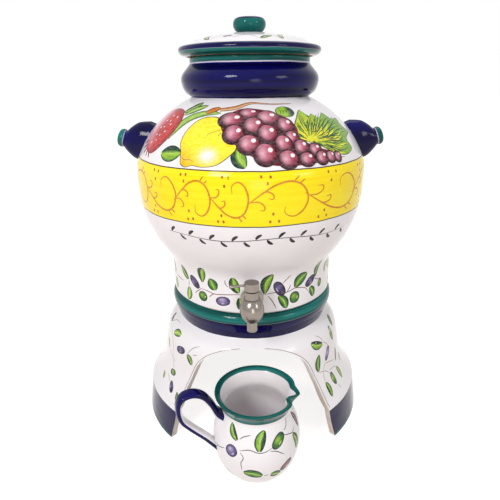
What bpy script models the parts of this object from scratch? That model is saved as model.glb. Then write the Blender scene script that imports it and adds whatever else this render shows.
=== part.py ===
"""Glazed oil jar on an arched stand, with a lift-off lid, a steel tap and a pouring jug.

Lengths are in metres, +Z is up and the tap faces -Y. The floor is at zero height, and the
origin lies under the middle of the whole set. Radii and heights of each pot are chained from
the sizes below, so a pot that grows carries what stands on it and what fits into it.
"""

import math

import bmesh
import bpy
from mathutils import Vector

# Shared clearances and the number of sides of round pieces
TOUCH_GAP = 0.0003
CUT_OVERRUN = 0.006
MERGE_DISTANCE = 0.000001
POT_SIDES = 40
LID_SIDES = 32
JUG_SIDES = 40
KNOB_SIDES = 24
TAP_SIDES = 20
SMALL_SIDES = 16
ROD_SIDES = 12
OVAL_SIDES = 16
SHARP_ANGLE = math.radians(40)

# Jar: a globe on a straight foot, with a spigot that drops into the stand's collar
JAR_SPIGOT_RADIUS = 0.095
JAR_SPIGOT_HEIGHT = 0.0242
JAR_RECESS_INSET = 0.011
JAR_RECESS_DEPTH = 0.003
JAR_FLOOR_THICKNESS = 0.008
JAR_WALL = 0.0075
JAR_FOOT_STEP = 0.0075
JAR_FOOT_EDGE = 0.003
JAR_FOOT_MARGIN = 0.0019
JAR_BELLY_RADIUS = 0.1371
JAR_BELLY_RISE = 0.099
JAR_BAND_RISE = 0.028
JAR_BAND_DRAW_IN = 0.0007
JAR_SHOULDER_RISE = 0.071
JAR_NECK_RADIUS = 0.0683
JAR_NECK_WALL = 0.0073
JAR_COLLAR_SWELL = 0.0112
JAR_COLLAR_RISE = 0.0195
JAR_COLLAR_FALL = 0.0155
JAR_RIM_STEP = 0.0007
JAR_RIM_HEIGHT = 0.007
JAR_RIM_EDGE = 0.0018

# Each pair is a share of the change in radius and of the change in height along a run
LOWER_BELLY_SHARES = (
    (0.03, 0.07), (0.11, 0.14), (0.385, 0.285), (0.61, 0.425), (0.78, 0.566), (0.91, 0.717),
)
SHOULDER_SHARES = ((0.05, 0.113), (0.162, 0.31), (0.305, 0.507), (0.508, 0.704), (0.74, 0.87))
COLLAR_SWELL_SHARES = ((0.45, 0.15), (0.75, 0.36), (0.95, 0.68))
COLLAR_FALL_SHARES = ((0.15, 0.3), (0.43, 0.55), (0.78, 0.82))
FOOT_CORNER_SHARES = ((0.7, 0.3),)
RIM_EDGE_SHARES = ((0.3, 0.7),)

# Stand: a bell with a collar on top, a ledge inside it and one arch cut in its front
SPIGOT_CLEARANCE = 0.0015
LEDGE_HEIGHT = 0.1497
LEDGE_THICKNESS = 0.0077
LEDGE_WIDTH = 0.0145
COLLAR_NECK_WALL = 0.0019
COLLAR_WALL = 0.009
COLLAR_LIP_WALL = 0.004
COLLAR_LIP_CLEARANCE = 0.0007
COLLAR_LINE_DROP = 0.0105
STAND_NECK_DROP = 0.0087
STAND_WALL = 0.008
STAND_SHOULDER_STEP = 0.0153
STAND_SHOULDER_DROP = 0.0174
STAND_WAIST_STEP = 0.0085
STAND_WAIST_HEIGHT = 0.08
STAND_BAND_STEP = 0.0207
STAND_BAND_HEIGHT = 0.042
STAND_FOOT_STEP = 0.0051
COLLAR_BORE_EDGE = 0.0015
STAND_SHOULDER_SHARES = ((0.17, 0.25), (0.41, 0.52), (0.7, 0.74))
STAND_SIDE_SHARES = ((0.5, 0.58),)
STAND_SKIRT_SHARES = ((0.3, 0.21), (0.58, 0.45), (0.78, 0.67))
COLLAR_RING_SHARES = ((0.45, 0.36), (0.85, 0.74))
COLLAR_ROLL_SHARES = ((0.12, 0.5), (0.5, 0.85))
ARCH_HEIGHT = 0.1325
ARCH_HALF_ANGLE = math.radians(45)
ARCH_REACH_INSIDE = 0.07
# Half-width and height of the arch's edge, as shares of its half-width at the floor and its height
ARCH_EDGE_SHARES = (
    (1.0, 0.0), (0.92, 0.2), (0.885, 0.36), (0.86, 0.5), (0.76, 0.67), (0.66, 0.8),
    (0.5, 0.905), (0.32, 0.967), (0.14, 0.995),
)

# Lid: a rolled flange, a low dome and a ring that drops into the mouth
LID_FLANGE_OVERHANG = 0.0017
LID_FLANGE_THICKNESS = 0.0108
LID_FLANGE_WIDTH = 0.009
LID_DOME_RISE = 0.0139
LID_WALL = 0.0065
LID_RING_DEPTH = 0.0095
LID_RING_WALL = 0.005
LID_RING_CLEARANCE = 0.0015
LID_RING_EDGE = 0.0015
LID_FLANGE_SHARES = (
    (0.0, 0.0), (0.45, 0.08), (0.8, 0.28), (1.0, 0.58), (0.93, 0.82), (0.62, 0.98), (0.1, 1.04),
)
LID_DOME_SHARES = ((0.2, 0.42), (0.45, 0.7), (0.75, 0.92))
LID_UNDER_SHARES = ((0.15, 0.3), (0.5, 0.72))
KNOB_FOOT_RADIUS = 0.013
KNOB_RADIUS = 0.0185
KNOB_HEIGHT = 0.0155
KNOB_DISH = 0.0012
KNOB_SIDE_SHARES = (
    (0.0, 0.0), (0.55, 0.14), (0.92, 0.36), (1.0, 0.55), (0.9, 0.76), (0.55, 0.93), (0.1, 1.0),
)

# Lugs: two upturned horns on the shoulder, each with a rounded button at its end
LUG_REACH = 0.0229
LUG_HEIGHT = 0.05
LUG_WIDTH = 0.034
LUG_RISE = 0.0205
LUG_TILT = math.radians(17)
# Place along the reach, rise, height, width and tilt of each section, as shares
LUG_SECTION_SHARES = (
    (-0.79, -0.1, 1.0, 1.0, 0.0), (-0.3, -0.05, 0.94, 0.92, 0.0), (0.08, 0.0, 0.84, 0.8, 0.47),
    (0.41, 0.1, 0.61, 0.7, 0.82), (0.6, 0.14, 0.43, 0.61, 1.0), (0.65, 0.155, 0.405, 0.585, 1.0),
    (0.7, 0.17, 0.435, 0.63, 1.0), (0.84, 0.21, 0.43, 0.62, 1.0), (0.94, 0.24, 0.36, 0.52, 1.0),
    (1.0, 0.255, 0.24, 0.34, 1.0),
)

# Tap: a barrel with a turning plug, on a threaded shank through the jar's foot
TAP_RISE = 0.0229
TAP_CHAMFER = 0.0006
BARREL_RADIUS = 0.0133
BARREL_NECK_RADIUS = 0.00745
BARREL_TOP_RISE = 0.0123
BARREL_BOTTOM_DROP = 0.0145
BARREL_END_RADIUS = 0.00605
BARREL_UPPER_SHARES = ((0.12, 0.3), (0.33, 0.58), (0.62, 0.82), (0.85, 0.95))
BARREL_LOWER_SHARES = ((0.06, 0.3), (0.24, 0.6), (0.5, 0.82), (0.74, 0.93))
PLUG_RADIUS = 0.006
PLUG_RISE = 0.0077
PLUG_DROP = 0.0077
PLUG_PORT_RADIUS = 0.0028
STEM_RADIUS = 0.0029
STEM_DEPTH_IN_CAP = 0.006
O_RING_SECTION_RADIUS = 0.00045
O_RING_INSET = 0.0018
O_RING_FACETS = 6
NOZZLE_LENGTH = 0.0117
NOZZLE_TIP_RADIUS = 0.0058
NOZZLE_CHAMFER = 0.0007
NOZZLE_BORE = 0.0033
NOZZLE_SPIGOT_RADIUS = 0.0046
NOZZLE_SPIGOT_LENGTH = 0.0035
BONNET_HEIGHT = 0.0087
BONNET_RADIUS = 0.00755
SEAL_THICKNESS = 0.0006
SEAL_INSET = 0.0009
CAP_RADIUS = 0.00785
CAP_HEIGHT = 0.0088
LEVER_REACH = 0.0242
LEVER_RADIUS = 0.00145
LEVER_TIP_RADIUS = 0.00195
LEVER_SPIGOT_RADIUS = 0.0011
LEVER_SPIGOT_LENGTH = 0.003
LEVER_DROOP = math.radians(7)
LEVER_RISE = 0.0009
LEVER_SIDE_SHARES = ((1.0, 0.0), (0.92, 0.3), (1.02, 0.62), (1.25, 0.84))
LEVER_END_SHARES = ((1.0, 0.0), (0.88, 0.5), (0.5, 0.88))
SHANK_SPIGOT_RADIUS = 0.0049
SHANK_SPIGOT_LENGTH = 0.004
SHANK_NECK_RADIUS = 0.0065
SHANK_NECK_LENGTH = 0.0076
SHANK_COLLAR_RADIUS = 0.0095
SHANK_COLLAR_LENGTH = 0.0025
SHANK_THREAD_RADIUS = 0.008
SHANK_THREAD_BORE = 0.005
SHANK_INLET_BORE = 0.0032
SHANK_TAIL = 0.0048
SHANK_CHAMFER = 0.0007
WALL_HOLE_CLEARANCE = 0.001
PLATE_RADIUS = 0.013
PLATE_THICKNESS = 0.003
PLATE_DISH = 0.0014
SOFT_WASHER_RADIUS = 0.0115
SOFT_WASHER_THICKNESS = 0.0018
SOFT_WASHER_OVERLAP = 0.0012
STEEL_WASHER_THICKNESS = 0.0015
NUT_ACROSS_FLATS = 0.024
NUT_THICKNESS = 0.006
NUT_SIDES = 6
NUT_FACETS = 24
BARREL_SOCKET_DEPTH = 0.0013

# Jug: a small globe with a flared rim, a pulled lip and a strap handle
JUG_FORWARD = 0.0165
JUG_SIDEWAYS = 0.0039
JUG_HEIGHT = 0.1055
JUG_RIM_RADIUS = 0.0465
JUG_NECK_RADIUS = 0.0393
JUG_NECK_DROP = 0.0175
JUG_BELLY_RADIUS = 0.0498
JUG_BELLY_HEIGHT = 0.046
JUG_BASE_RADIUS = 0.028
JUG_RECESS_INSET = 0.006
JUG_RECESS_DEPTH = 0.0015
JUG_WALL = 0.0045
JUG_RIM_EDGE = 0.0011
JUG_LOWER_SHARES = ((0.28, 0.12), (0.6, 0.32), (0.86, 0.6))
JUG_UPPER_SHARES = ((0.12, 0.36), (0.42, 0.62), (0.8, 0.85))
JUG_RIM_SHARES = ((0.22, 0.4), (0.7, 0.78))
LIP_REACH = 0.0025
LIP_DIP = 0.002
LIP_NEAR_PINCH = 0.0068
LIP_FAR_PINCH = 0.0018
LIP_AZIMUTH = math.radians(-6)
LIP_SPREAD = math.radians(9)
LIP_PINCH_OFFSET = math.radians(15)
HANDLE_REACH = 0.0407
HANDLE_WIDTH = 0.0135
HANDLE_THICKNESS = 0.0066
HANDLE_FULLNESS = 0.7
HANDLE_AZIMUTH = math.radians(198)
# Reach beyond the rim, height and size of each section, as shares of the handle's reach,
# the jug's height and the strap's own section
HANDLE_SECTION_SHARES = (
    (-0.2, 0.76, 1.3), (0.0, 0.845, 1.25), (0.15, 0.965, 1.12), (0.36, 1.075, 1.0),
    (0.6, 1.118, 1.0), (0.84, 1.105, 1.0), (0.975, 1.045, 1.0), (1.0, 0.95, 1.0),
    (0.926, 0.83, 1.0), (0.742, 0.733, 1.0), (0.533, 0.642, 1.0), (0.337, 0.56, 1.03),
    (0.14, 0.465, 1.08), (0.0, 0.395, 1.12),
)

# Places that follow from the sizes above, measured from each pot's own base
COLLAR_BORE = JAR_SPIGOT_RADIUS + SPIGOT_CLEARANCE
COLLAR_TOP_HEIGHT = LEDGE_HEIGHT + TOUCH_GAP + JAR_SPIGOT_HEIGHT - COLLAR_LIP_CLEARANCE
STAND_NECK_RADIUS = COLLAR_BORE + COLLAR_NECK_WALL
STAND_NECK_HEIGHT = LEDGE_HEIGHT - STAND_NECK_DROP
STAND_SHOULDER_RADIUS = STAND_NECK_RADIUS + STAND_SHOULDER_STEP
STAND_SHOULDER_HEIGHT = STAND_NECK_HEIGHT - STAND_SHOULDER_DROP
STAND_WAIST_RADIUS = STAND_SHOULDER_RADIUS + STAND_WAIST_STEP
STAND_BAND_RADIUS = STAND_WAIST_RADIUS + STAND_BAND_STEP
STAND_FOOT_RADIUS = STAND_BAND_RADIUS + STAND_FOOT_STEP
JAR_FOOT_RADIUS = JAR_SPIGOT_RADIUS + JAR_FOOT_STEP
JAR_FOOT_TOP = JAR_SPIGOT_HEIGHT + TAP_RISE + PLATE_RADIUS + JAR_FOOT_MARGIN
JAR_BELLY_HEIGHT = JAR_FOOT_TOP + JAR_BELLY_RISE
JAR_BAND_TOP_HEIGHT = JAR_BELLY_HEIGHT + JAR_BAND_RISE
JAR_BAND_TOP_RADIUS = JAR_BELLY_RADIUS - JAR_BAND_DRAW_IN
JAR_NECK_HEIGHT = JAR_BAND_TOP_HEIGHT + JAR_SHOULDER_RISE
JAR_COLLAR_HEIGHT = JAR_NECK_HEIGHT + JAR_COLLAR_RISE
JAR_RIM_FOOT = JAR_COLLAR_HEIGHT + JAR_COLLAR_FALL
JAR_HEIGHT = JAR_RIM_FOOT + JAR_RIM_HEIGHT
JAR_COLLAR_RADIUS = JAR_NECK_RADIUS + JAR_COLLAR_SWELL
JAR_RIM_RADIUS = JAR_NECK_RADIUS + JAR_RIM_STEP
JAR_MOUTH_RADIUS = JAR_NECK_RADIUS - JAR_NECK_WALL
LID_FLANGE_RADIUS = JAR_COLLAR_RADIUS + LID_FLANGE_OVERHANG
LID_RING_RADIUS = JAR_MOUTH_RADIUS - LID_RING_CLEARANCE
TAP_HEIGHT = JAR_SPIGOT_HEIGHT + TAP_RISE
BARREL_BORE = PLUG_RADIUS + TOUCH_GAP
SHANK_SHOULDER = BARREL_RADIUS - BARREL_SOCKET_DEPTH
SHANK_COLLAR_START = SHANK_SHOULDER + SHANK_NECK_LENGTH
PLATE_START = SHANK_COLLAR_START + SHANK_COLLAR_LENGTH + TOUCH_GAP
OUTER_WASHER_START = PLATE_START + PLATE_THICKNESS + TOUCH_GAP
TAP_STAND_OFF = OUTER_WASHER_START + SOFT_WASHER_THICKNESS + TOUCH_GAP
TAP_REACH = JAR_FOOT_RADIUS + TAP_STAND_OFF
INNER_WALL_START = TAP_STAND_OFF + JAR_WALL
STEEL_WASHER_START = INNER_WALL_START + SOFT_WASHER_THICKNESS + SOFT_WASHER_OVERLAP + TOUCH_GAP
NUT_START = STEEL_WASHER_START + STEEL_WASHER_THICKNESS + TOUCH_GAP
SHANK_END = NUT_START + NUT_THICKNESS + SHANK_TAIL
THREAD_HOLE = SHANK_THREAD_RADIUS + TOUCH_GAP
SEAL_HEIGHT = BARREL_TOP_RISE + TOUCH_GAP + BONNET_HEIGHT + TOUCH_GAP
CAP_BASE = SEAL_HEIGHT + SEAL_THICKNESS + TOUCH_GAP
JUG_REACH = TAP_REACH + JUG_FORWARD
JAR_AXIS_Y = (JUG_REACH + JUG_BELLY_RADIUS - STAND_FOOT_RADIUS) / 2


def clear_scene():
    """Empties the scene, so that the script starts from nothing."""
    for item in list(bpy.data.objects):
        bpy.data.objects.remove(item)


def finish(name, colour, roughness, metallic=0.0):
    """A plain surface finish of one colour."""
    material = bpy.data.materials.new(name)
    material.use_nodes = True
    shader = material.node_tree.nodes["Principled BSDF"]
    shader.inputs["Base Color"].default_value = (*colour, 1.0)
    shader.inputs["Roughness"].default_value = roughness
    shader.inputs["Metallic"].default_value = metallic
    material.diffuse_color = (*colour, 1.0)
    return material


def between(start, end, shares):
    """Points on the way from start to end, each placed by its shares of the two changes."""
    (radius, height), (last_radius, last_height) = start, end
    return [
        (radius + across * (last_radius - radius), height + up * (last_height - height))
        for across, up in shares
    ]


def inset(points, wall):
    """The same run of an outline, moved inward by the wall's thickness, square to the surface."""
    moved = []
    for index, (radius, height) in enumerate(points):
        before = Vector(points[max(index - 1, 0)])
        after = Vector(points[min(index + 1, len(points) - 1)])
        along = (after - before).normalized()
        moved.append((radius - wall * along.y, height + wall * along.x))
    return moved


def outset(points, gap):
    """An outline whose every radius is larger by the gap, apart from points on the axis."""
    return [(radius + gap if radius > 0 else 0, height) for radius, height in points]


def add_object(name, shape, material, parent):
    """Makes an object of a finished shape, hung on its parent."""
    bmesh.ops.recalc_face_normals(shape, faces=shape.faces)
    if shape.calc_volume(signed=True) < 0:
        bmesh.ops.reverse_faces(shape, faces=shape.faces)
    mesh = bpy.data.meshes.new(name)
    shape.to_mesh(mesh)
    shape.free()
    mesh.shade_smooth()
    mesh.set_sharp_from_angle(angle=SHARP_ANGLE)
    made = bpy.data.objects.new(name, mesh)
    bpy.context.scene.collection.objects.link(made)
    made.parent = parent
    if material is not None:
        mesh.materials.append(material)
    return made


def add_axis(name, place, parent=None):
    """An empty on a moving group's own axis, in the parent's frame."""
    axis = bpy.data.objects.new(name, None)
    bpy.context.scene.collection.objects.link(axis)
    axis.parent = parent
    axis.location = place
    return axis


def turned_shape(outline, sides, hollow=False):
    """A shape turned about Z. The outline runs from axis to axis, or round a hollow section."""
    shape = bmesh.new()
    points = [shape.verts.new((radius, 0, height)) for radius, height in outline]
    runs = list(zip(points, points[1:]))
    if hollow:
        runs.append((points[-1], points[0]))
    edges = [shape.edges.new(run) for run in runs]
    bmesh.ops.spin(
        shape, geom=points + edges, cent=(0, 0, 0), axis=(0, 0, 1), dvec=(0, 0, 0),
        angle=math.tau, steps=sides, use_merge=True, use_duplicate=False,
    )
    bmesh.ops.remove_doubles(shape, verts=shape.verts, dist=MERGE_DISTANCE)
    return shape


def turned(name, outline, sides, material, parent, hollow=False):
    """A turned piece that stands on its parent's axis."""
    return add_object(name, turned_shape(outline, sides, hollow), material, parent)


def turned_along_y(name, outline, sides, material, parent, hollow=False):
    """A turned piece whose axis lies along +Y, so that heights in its outline become depths."""
    piece = turned(name, outline, sides, material, parent, hollow)
    piece.rotation_euler = (-math.pi / 2, 0, 0)
    return piece


def lofted(name, rings, material, parent):
    """A piece skinned over a row of rings that hold the same number of points."""
    shape = bmesh.new()
    loops = [[shape.verts.new(point) for point in ring] for ring in rings]
    for first, second in zip(loops, loops[1:]):
        for index in range(len(first)):
            following = (index + 1) % len(first)
            shape.faces.new((first[index], first[following], second[following], second[index]))
    shape.faces.new(loops[0])
    shape.faces.new(loops[-1])
    return add_object(name, shape, material, parent)


def filled_out(value, fullness):
    """A sine or cosine drawn towards its extremes, so that an oval's corners fill out."""
    return math.copysign(abs(value) ** fullness, value)


def oval_ring(centre, across, upward, half_width, half_height, sides=OVAL_SIDES, fullness=1.0):
    """Points of an oval round a centre, in the plane of two directions."""
    ring = []
    for index in range(sides):
        turn = math.tau * (index + 0.5) / sides
        aside = across * half_width * filled_out(math.cos(turn), fullness)
        ring.append(centre + aside + upward * half_height * filled_out(math.sin(turn), fullness))
    return ring


def as_cutter(cutter):
    """Marks a shape that only cuts others."""
    cutter.hide_render = True
    cutter.display_type = "WIRE"
    return cutter


def cut(piece, cutter, operation="DIFFERENCE"):
    """Takes the cutter away from a piece, or keeps what lies in both."""
    modifier = piece.modifiers.new(cutter.name, "BOOLEAN")
    modifier.operation = operation
    modifier.solver = "EXACT"
    modifier.object = as_cutter(cutter)


def stand_outline():
    """The bell's outside from the floor to the collar's lip, then its inside back down."""
    foot = (STAND_FOOT_RADIUS, 0)
    band = (STAND_BAND_RADIUS, STAND_BAND_HEIGHT)
    waist = (STAND_WAIST_RADIUS, STAND_WAIST_HEIGHT)
    shoulder = (STAND_SHOULDER_RADIUS, STAND_SHOULDER_HEIGHT)
    neck = (STAND_NECK_RADIUS, STAND_NECK_HEIGHT)
    ring = (COLLAR_BORE + COLLAR_WALL, COLLAR_TOP_HEIGHT - COLLAR_LINE_DROP)
    lip = (COLLAR_BORE + COLLAR_LIP_WALL, COLLAR_TOP_HEIGHT)
    skirt = between(band, waist, STAND_SKIRT_SHARES)
    side = between(waist, shoulder, STAND_SIDE_SHARES)
    cap = between(shoulder, neck, STAND_SHOULDER_SHARES)
    swell = between(neck, ring, COLLAR_RING_SHARES)
    roll = between(ring, lip, COLLAR_ROLL_SHARES)
    outside = [foot, band, *skirt, waist, *side, shoulder, *cap, neck, *swell, ring]
    bell = inset([foot, band, skirt[1], waist, shoulder, cap[0]], STAND_WALL)[1:]
    ledge_edge = COLLAR_BORE - LEDGE_WIDTH
    ledge_under = LEDGE_HEIGHT - LEDGE_THICKNESS
    inside = [
        (COLLAR_BORE, COLLAR_TOP_HEIGHT - COLLAR_BORE_EDGE),
        (COLLAR_BORE, LEDGE_HEIGHT),
        (ledge_edge, LEDGE_HEIGHT),
        (ledge_edge, ledge_under),
        *reversed(bell),
        (STAND_FOOT_RADIUS - STAND_WALL, 0),
    ]
    return [*outside, *roll, lip, (COLLAR_BORE + COLLAR_BORE_EDGE, COLLAR_TOP_HEIGHT), *inside]


def arch_cutter(parent):
    """The wedge that opens the front arch, its sides running out from the jar's axis."""
    edge = [
        (math.tan(ARCH_HALF_ANGLE) * across, ARCH_HEIGHT * up) for across, up in ARCH_EDGE_SHARES
    ]
    half = [(edge[0][0], -CUT_OVERRUN), *edge]
    outline = [*half, (0, ARCH_HEIGHT), *[(-across, up) for across, up in reversed(half)]]
    rings = [
        [(across * depth, -depth, up) for across, up in outline]
        for depth in (ARCH_REACH_INSIDE, STAND_FOOT_RADIUS + CUT_OVERRUN)
    ]
    return lofted("arch_cutter", rings, None, parent)


def jar_outside():
    """The jar's outline from its spigot up to its mouth."""
    spigot_top = (JAR_SPIGOT_RADIUS, JAR_SPIGOT_HEIGHT)
    foot_top = (JAR_FOOT_RADIUS, JAR_FOOT_TOP)
    belly = (JAR_BELLY_RADIUS, JAR_BELLY_HEIGHT)
    band_top = (JAR_BAND_TOP_RADIUS, JAR_BAND_TOP_HEIGHT)
    neck = (JAR_NECK_RADIUS, JAR_NECK_HEIGHT)
    collar = (JAR_COLLAR_RADIUS, JAR_COLLAR_HEIGHT)
    rim_foot = (JAR_RIM_RADIUS, JAR_RIM_FOOT)
    foot_corner = between(
        (JAR_FOOT_RADIUS - JAR_FOOT_EDGE, JAR_SPIGOT_HEIGHT),
        (JAR_FOOT_RADIUS, JAR_SPIGOT_HEIGHT + JAR_FOOT_EDGE),
        ((0, 0), *FOOT_CORNER_SHARES, (1, 1)),
    )
    return [
        (JAR_SPIGOT_RADIUS, 0), spigot_top, *foot_corner, foot_top,
        *between(foot_top, belly, LOWER_BELLY_SHARES), belly, band_top,
        *between(band_top, neck, SHOULDER_SHARES), neck,
        *between(neck, collar, COLLAR_SWELL_SHARES), collar,
        *between(collar, rim_foot, COLLAR_FALL_SHARES), rim_foot,
    ]


def jar_outline():
    """The whole jar: recessed underside, outside, rolled rim and inside down to its floor."""
    recess = JAR_SPIGOT_RADIUS - JAR_RECESS_INSET
    floor = JAR_RECESS_DEPTH + JAR_FLOOR_THICKNESS
    outside = jar_outside()
    foot_top = (JAR_FOOT_RADIUS, JAR_FOOT_TOP)
    belly = (JAR_BELLY_RADIUS, JAR_BELLY_HEIGHT)
    band_top = (JAR_BAND_TOP_RADIUS, JAR_BAND_TOP_HEIGHT)
    neck = (JAR_NECK_RADIUS, JAR_NECK_HEIGHT)
    lower = between(foot_top, belly, LOWER_BELLY_SHARES[1::2])
    upper = between(band_top, neck, SHOULDER_SHARES[1::2])
    globe = inset([foot_top, *lower, belly, band_top, *upper], JAR_WALL)
    spigot_bore = JAR_SPIGOT_RADIUS - JAR_WALL
    foot_bore = JAR_FOOT_RADIUS - JAR_WALL
    step = JAR_SPIGOT_HEIGHT + JAR_WALL
    rim = between(
        (JAR_RIM_RADIUS, JAR_HEIGHT - JAR_RIM_EDGE),
        (JAR_RIM_RADIUS - JAR_RIM_EDGE, JAR_HEIGHT),
        ((0, 0), *RIM_EDGE_SHARES, (1, 1)),
    )
    return [
        (0, JAR_RECESS_DEPTH), (recess - JAR_RECESS_DEPTH, JAR_RECESS_DEPTH), (recess, 0),
        *outside, *rim,
        (JAR_MOUTH_RADIUS + JAR_RIM_EDGE, JAR_HEIGHT), (JAR_MOUTH_RADIUS, JAR_HEIGHT - JAR_RIM_EDGE),
        (JAR_MOUTH_RADIUS, JAR_NECK_HEIGHT), *reversed(globe[1:]), (foot_bore, JAR_FOOT_TOP),
        (foot_bore, step), (spigot_bore, JAR_SPIGOT_HEIGHT),
        (spigot_bore, floor + JAR_FOOT_EDGE), (spigot_bore - JAR_FOOT_EDGE, floor), (0, floor),
    ]


def jar_filled(gap):
    """The jar's outside as a filled outline, larger by a gap, for trimming what is set on it."""
    outside = outset(jar_outside(), gap)
    return [(0, 0), *outside, (0, outside[-1][1])]


def add_lug(name, side, material, parent):
    """One horn on the shoulder. Side is 1 for +X and -1 for -X."""
    rings = []
    for along, rise, height, width, tilt in LUG_SECTION_SHARES:
        angle = LUG_TILT * tilt
        centre = Vector((
            side * (JAR_BELLY_RADIUS + LUG_REACH * along),
            0,
            JAR_BAND_TOP_HEIGHT + LUG_RISE * (1 + rise),
        ))
        upward = Vector((-side * math.sin(angle), 0, math.cos(angle)))
        half_width, half_height = LUG_WIDTH * width / 2, LUG_HEIGHT * height / 2
        rings.append(oval_ring(centre, Vector((0, 1, 0)), upward, half_width, half_height))
    lug = lofted(name, rings, material, parent)
    cut(lug, turned(name + "_trim", jar_filled(TOUCH_GAP), POT_SIDES, None, parent))


def add_jar(glaze, parent):
    """The globe with its foot, neck and mouth, and the hole for the tap's shank."""
    jar = turned("jar", jar_outline(), POT_SIDES, glaze, parent)
    hole_radius = SHANK_THREAD_RADIUS + WALL_HOLE_CLEARANCE
    start = JAR_FOOT_RADIUS - JAR_WALL - CUT_OVERRUN
    outline = [
        (0, start), (hole_radius, start),
        (hole_radius, JAR_FOOT_RADIUS + CUT_OVERRUN), (0, JAR_FOOT_RADIUS + CUT_OVERRUN),
    ]
    drill = turned("shank_hole_cutter", outline, TAP_SIDES, None, parent)
    drill.rotation_euler = (math.pi / 2, 0, 0)
    drill.location = (0, 0, TAP_HEIGHT)
    cut(jar, drill)


def add_stand(glaze, parent):
    """The bell that carries the jar, open at the front and below."""
    stand = turned("stand", stand_outline(), POT_SIDES, glaze, parent, hollow=True)
    cut(stand, arch_cutter(parent))


def lid_outline():
    """The lid from its inside's top, down and round its ring, over the flange and the dome."""
    seat = JAR_HEIGHT + TOUCH_GAP
    flange_root = LID_FLANGE_RADIUS - LID_FLANGE_WIDTH
    flange_top = (LID_FLANGE_RADIUS, seat + LID_FLANGE_THICKNESS)
    flange = between((flange_root, seat), flange_top, LID_FLANGE_SHARES)
    dome_foot = flange[-1]
    dome_top = (KNOB_FOOT_RADIUS, seat + LID_FLANGE_THICKNESS + LID_DOME_RISE)
    dome = between(dome_foot, dome_top, LID_DOME_SHARES)
    ring_bore = LID_RING_RADIUS - LID_RING_WALL
    under_edge = (ring_bore, seat + LID_FLANGE_THICKNESS - LID_RING_EDGE)
    under_top = (KNOB_FOOT_RADIUS, dome_top[1] - LID_WALL)
    under = between(under_edge, under_top, LID_UNDER_SHARES)
    ring_bottom = seat - LID_RING_DEPTH
    return [
        (0, under_top[1]), under_top, *reversed(under), under_edge,
        (ring_bore, ring_bottom), (LID_RING_RADIUS - LID_RING_EDGE, ring_bottom),
        (LID_RING_RADIUS, ring_bottom + LID_RING_EDGE),
        (LID_RING_RADIUS, seat), *flange, *dome, dome_top, (0, dome_top[1]),
    ]


def add_lid(glaze, knob_glaze, parent):
    """The lid and its knob. The parent stands at the jar's base height."""
    outline = lid_outline()
    turned("lid", outline, LID_SIDES, glaze, parent)
    base = outline[-1][1] + TOUCH_GAP
    side = between((KNOB_FOOT_RADIUS, base), (KNOB_RADIUS, base + KNOB_HEIGHT), KNOB_SIDE_SHARES)
    dish = (0, base + KNOB_HEIGHT - KNOB_DISH)
    turned("lid_knob", [(0, base), *side, dish], KNOB_SIDES, knob_glaze, parent)


def barrel_outline():
    """The tap's barrel, bored from above for the plug and from below for the nozzle."""
    top = (BARREL_NECK_RADIUS, BARREL_TOP_RISE)
    middle = (BARREL_RADIUS, 0)
    bottom = (BARREL_END_RADIUS, -BARREL_BOTTOM_DROP)
    upper = between(middle, top, BARREL_UPPER_SHARES)
    lower = between(middle, bottom, BARREL_LOWER_SHARES)
    socket = NOZZLE_SPIGOT_RADIUS + TOUCH_GAP
    socket_end = -BARREL_BOTTOM_DROP + NOZZLE_SPIGOT_LENGTH + TOUCH_GAP
    return [
        bottom, *reversed(lower), middle, *upper, top, (BARREL_BORE, BARREL_TOP_RISE),
        (BARREL_BORE, -PLUG_DROP - TOUCH_GAP), (NOZZLE_BORE, -PLUG_DROP - TOUCH_GAP),
        (NOZZLE_BORE, socket_end), (socket, socket_end), (socket, -BARREL_BOTTOM_DROP),
    ]


def add_barrel(steel, parent):
    """The barrel, with the stepped socket at its back that takes the shank."""
    barrel = turned("tap_barrel", barrel_outline(), TAP_SIDES, steel, parent, hollow=True)
    neck_hole = SHANK_NECK_RADIUS + TOUCH_GAP
    spigot_hole = SHANK_SPIGOT_RADIUS + TOUCH_GAP
    spigot_end = SHANK_SHOULDER - SHANK_SPIGOT_LENGTH - TOUCH_GAP
    neck_end = SHANK_SHOULDER - TOUCH_GAP
    out = BARREL_RADIUS + CUT_OVERRUN
    outline = [
        (0, 0), (SHANK_INLET_BORE, 0), (SHANK_INLET_BORE, spigot_end), (spigot_hole, spigot_end),
        (spigot_hole, neck_end), (neck_hole, neck_end), (neck_hole, out), (0, out),
    ]
    cut(barrel, turned_along_y("barrel_socket_cutter", outline, TAP_SIDES, None, parent))


def add_nozzle(steel, parent):
    """The spout tube under the barrel, with a spigot that screws into it."""
    top = -BARREL_BOTTOM_DROP - TOUCH_GAP
    bottom = top - NOZZLE_LENGTH
    outline = [
        (NOZZLE_BORE, bottom), (NOZZLE_TIP_RADIUS - NOZZLE_CHAMFER, bottom),
        (NOZZLE_TIP_RADIUS, bottom + NOZZLE_CHAMFER), (BARREL_END_RADIUS, top),
        (NOZZLE_SPIGOT_RADIUS, top), (NOZZLE_SPIGOT_RADIUS, top + NOZZLE_SPIGOT_LENGTH),
        (NOZZLE_BORE, top + NOZZLE_SPIGOT_LENGTH),
    ]
    turned("tap_nozzle", outline, SMALL_SIDES, steel, parent, hollow=True)


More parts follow.
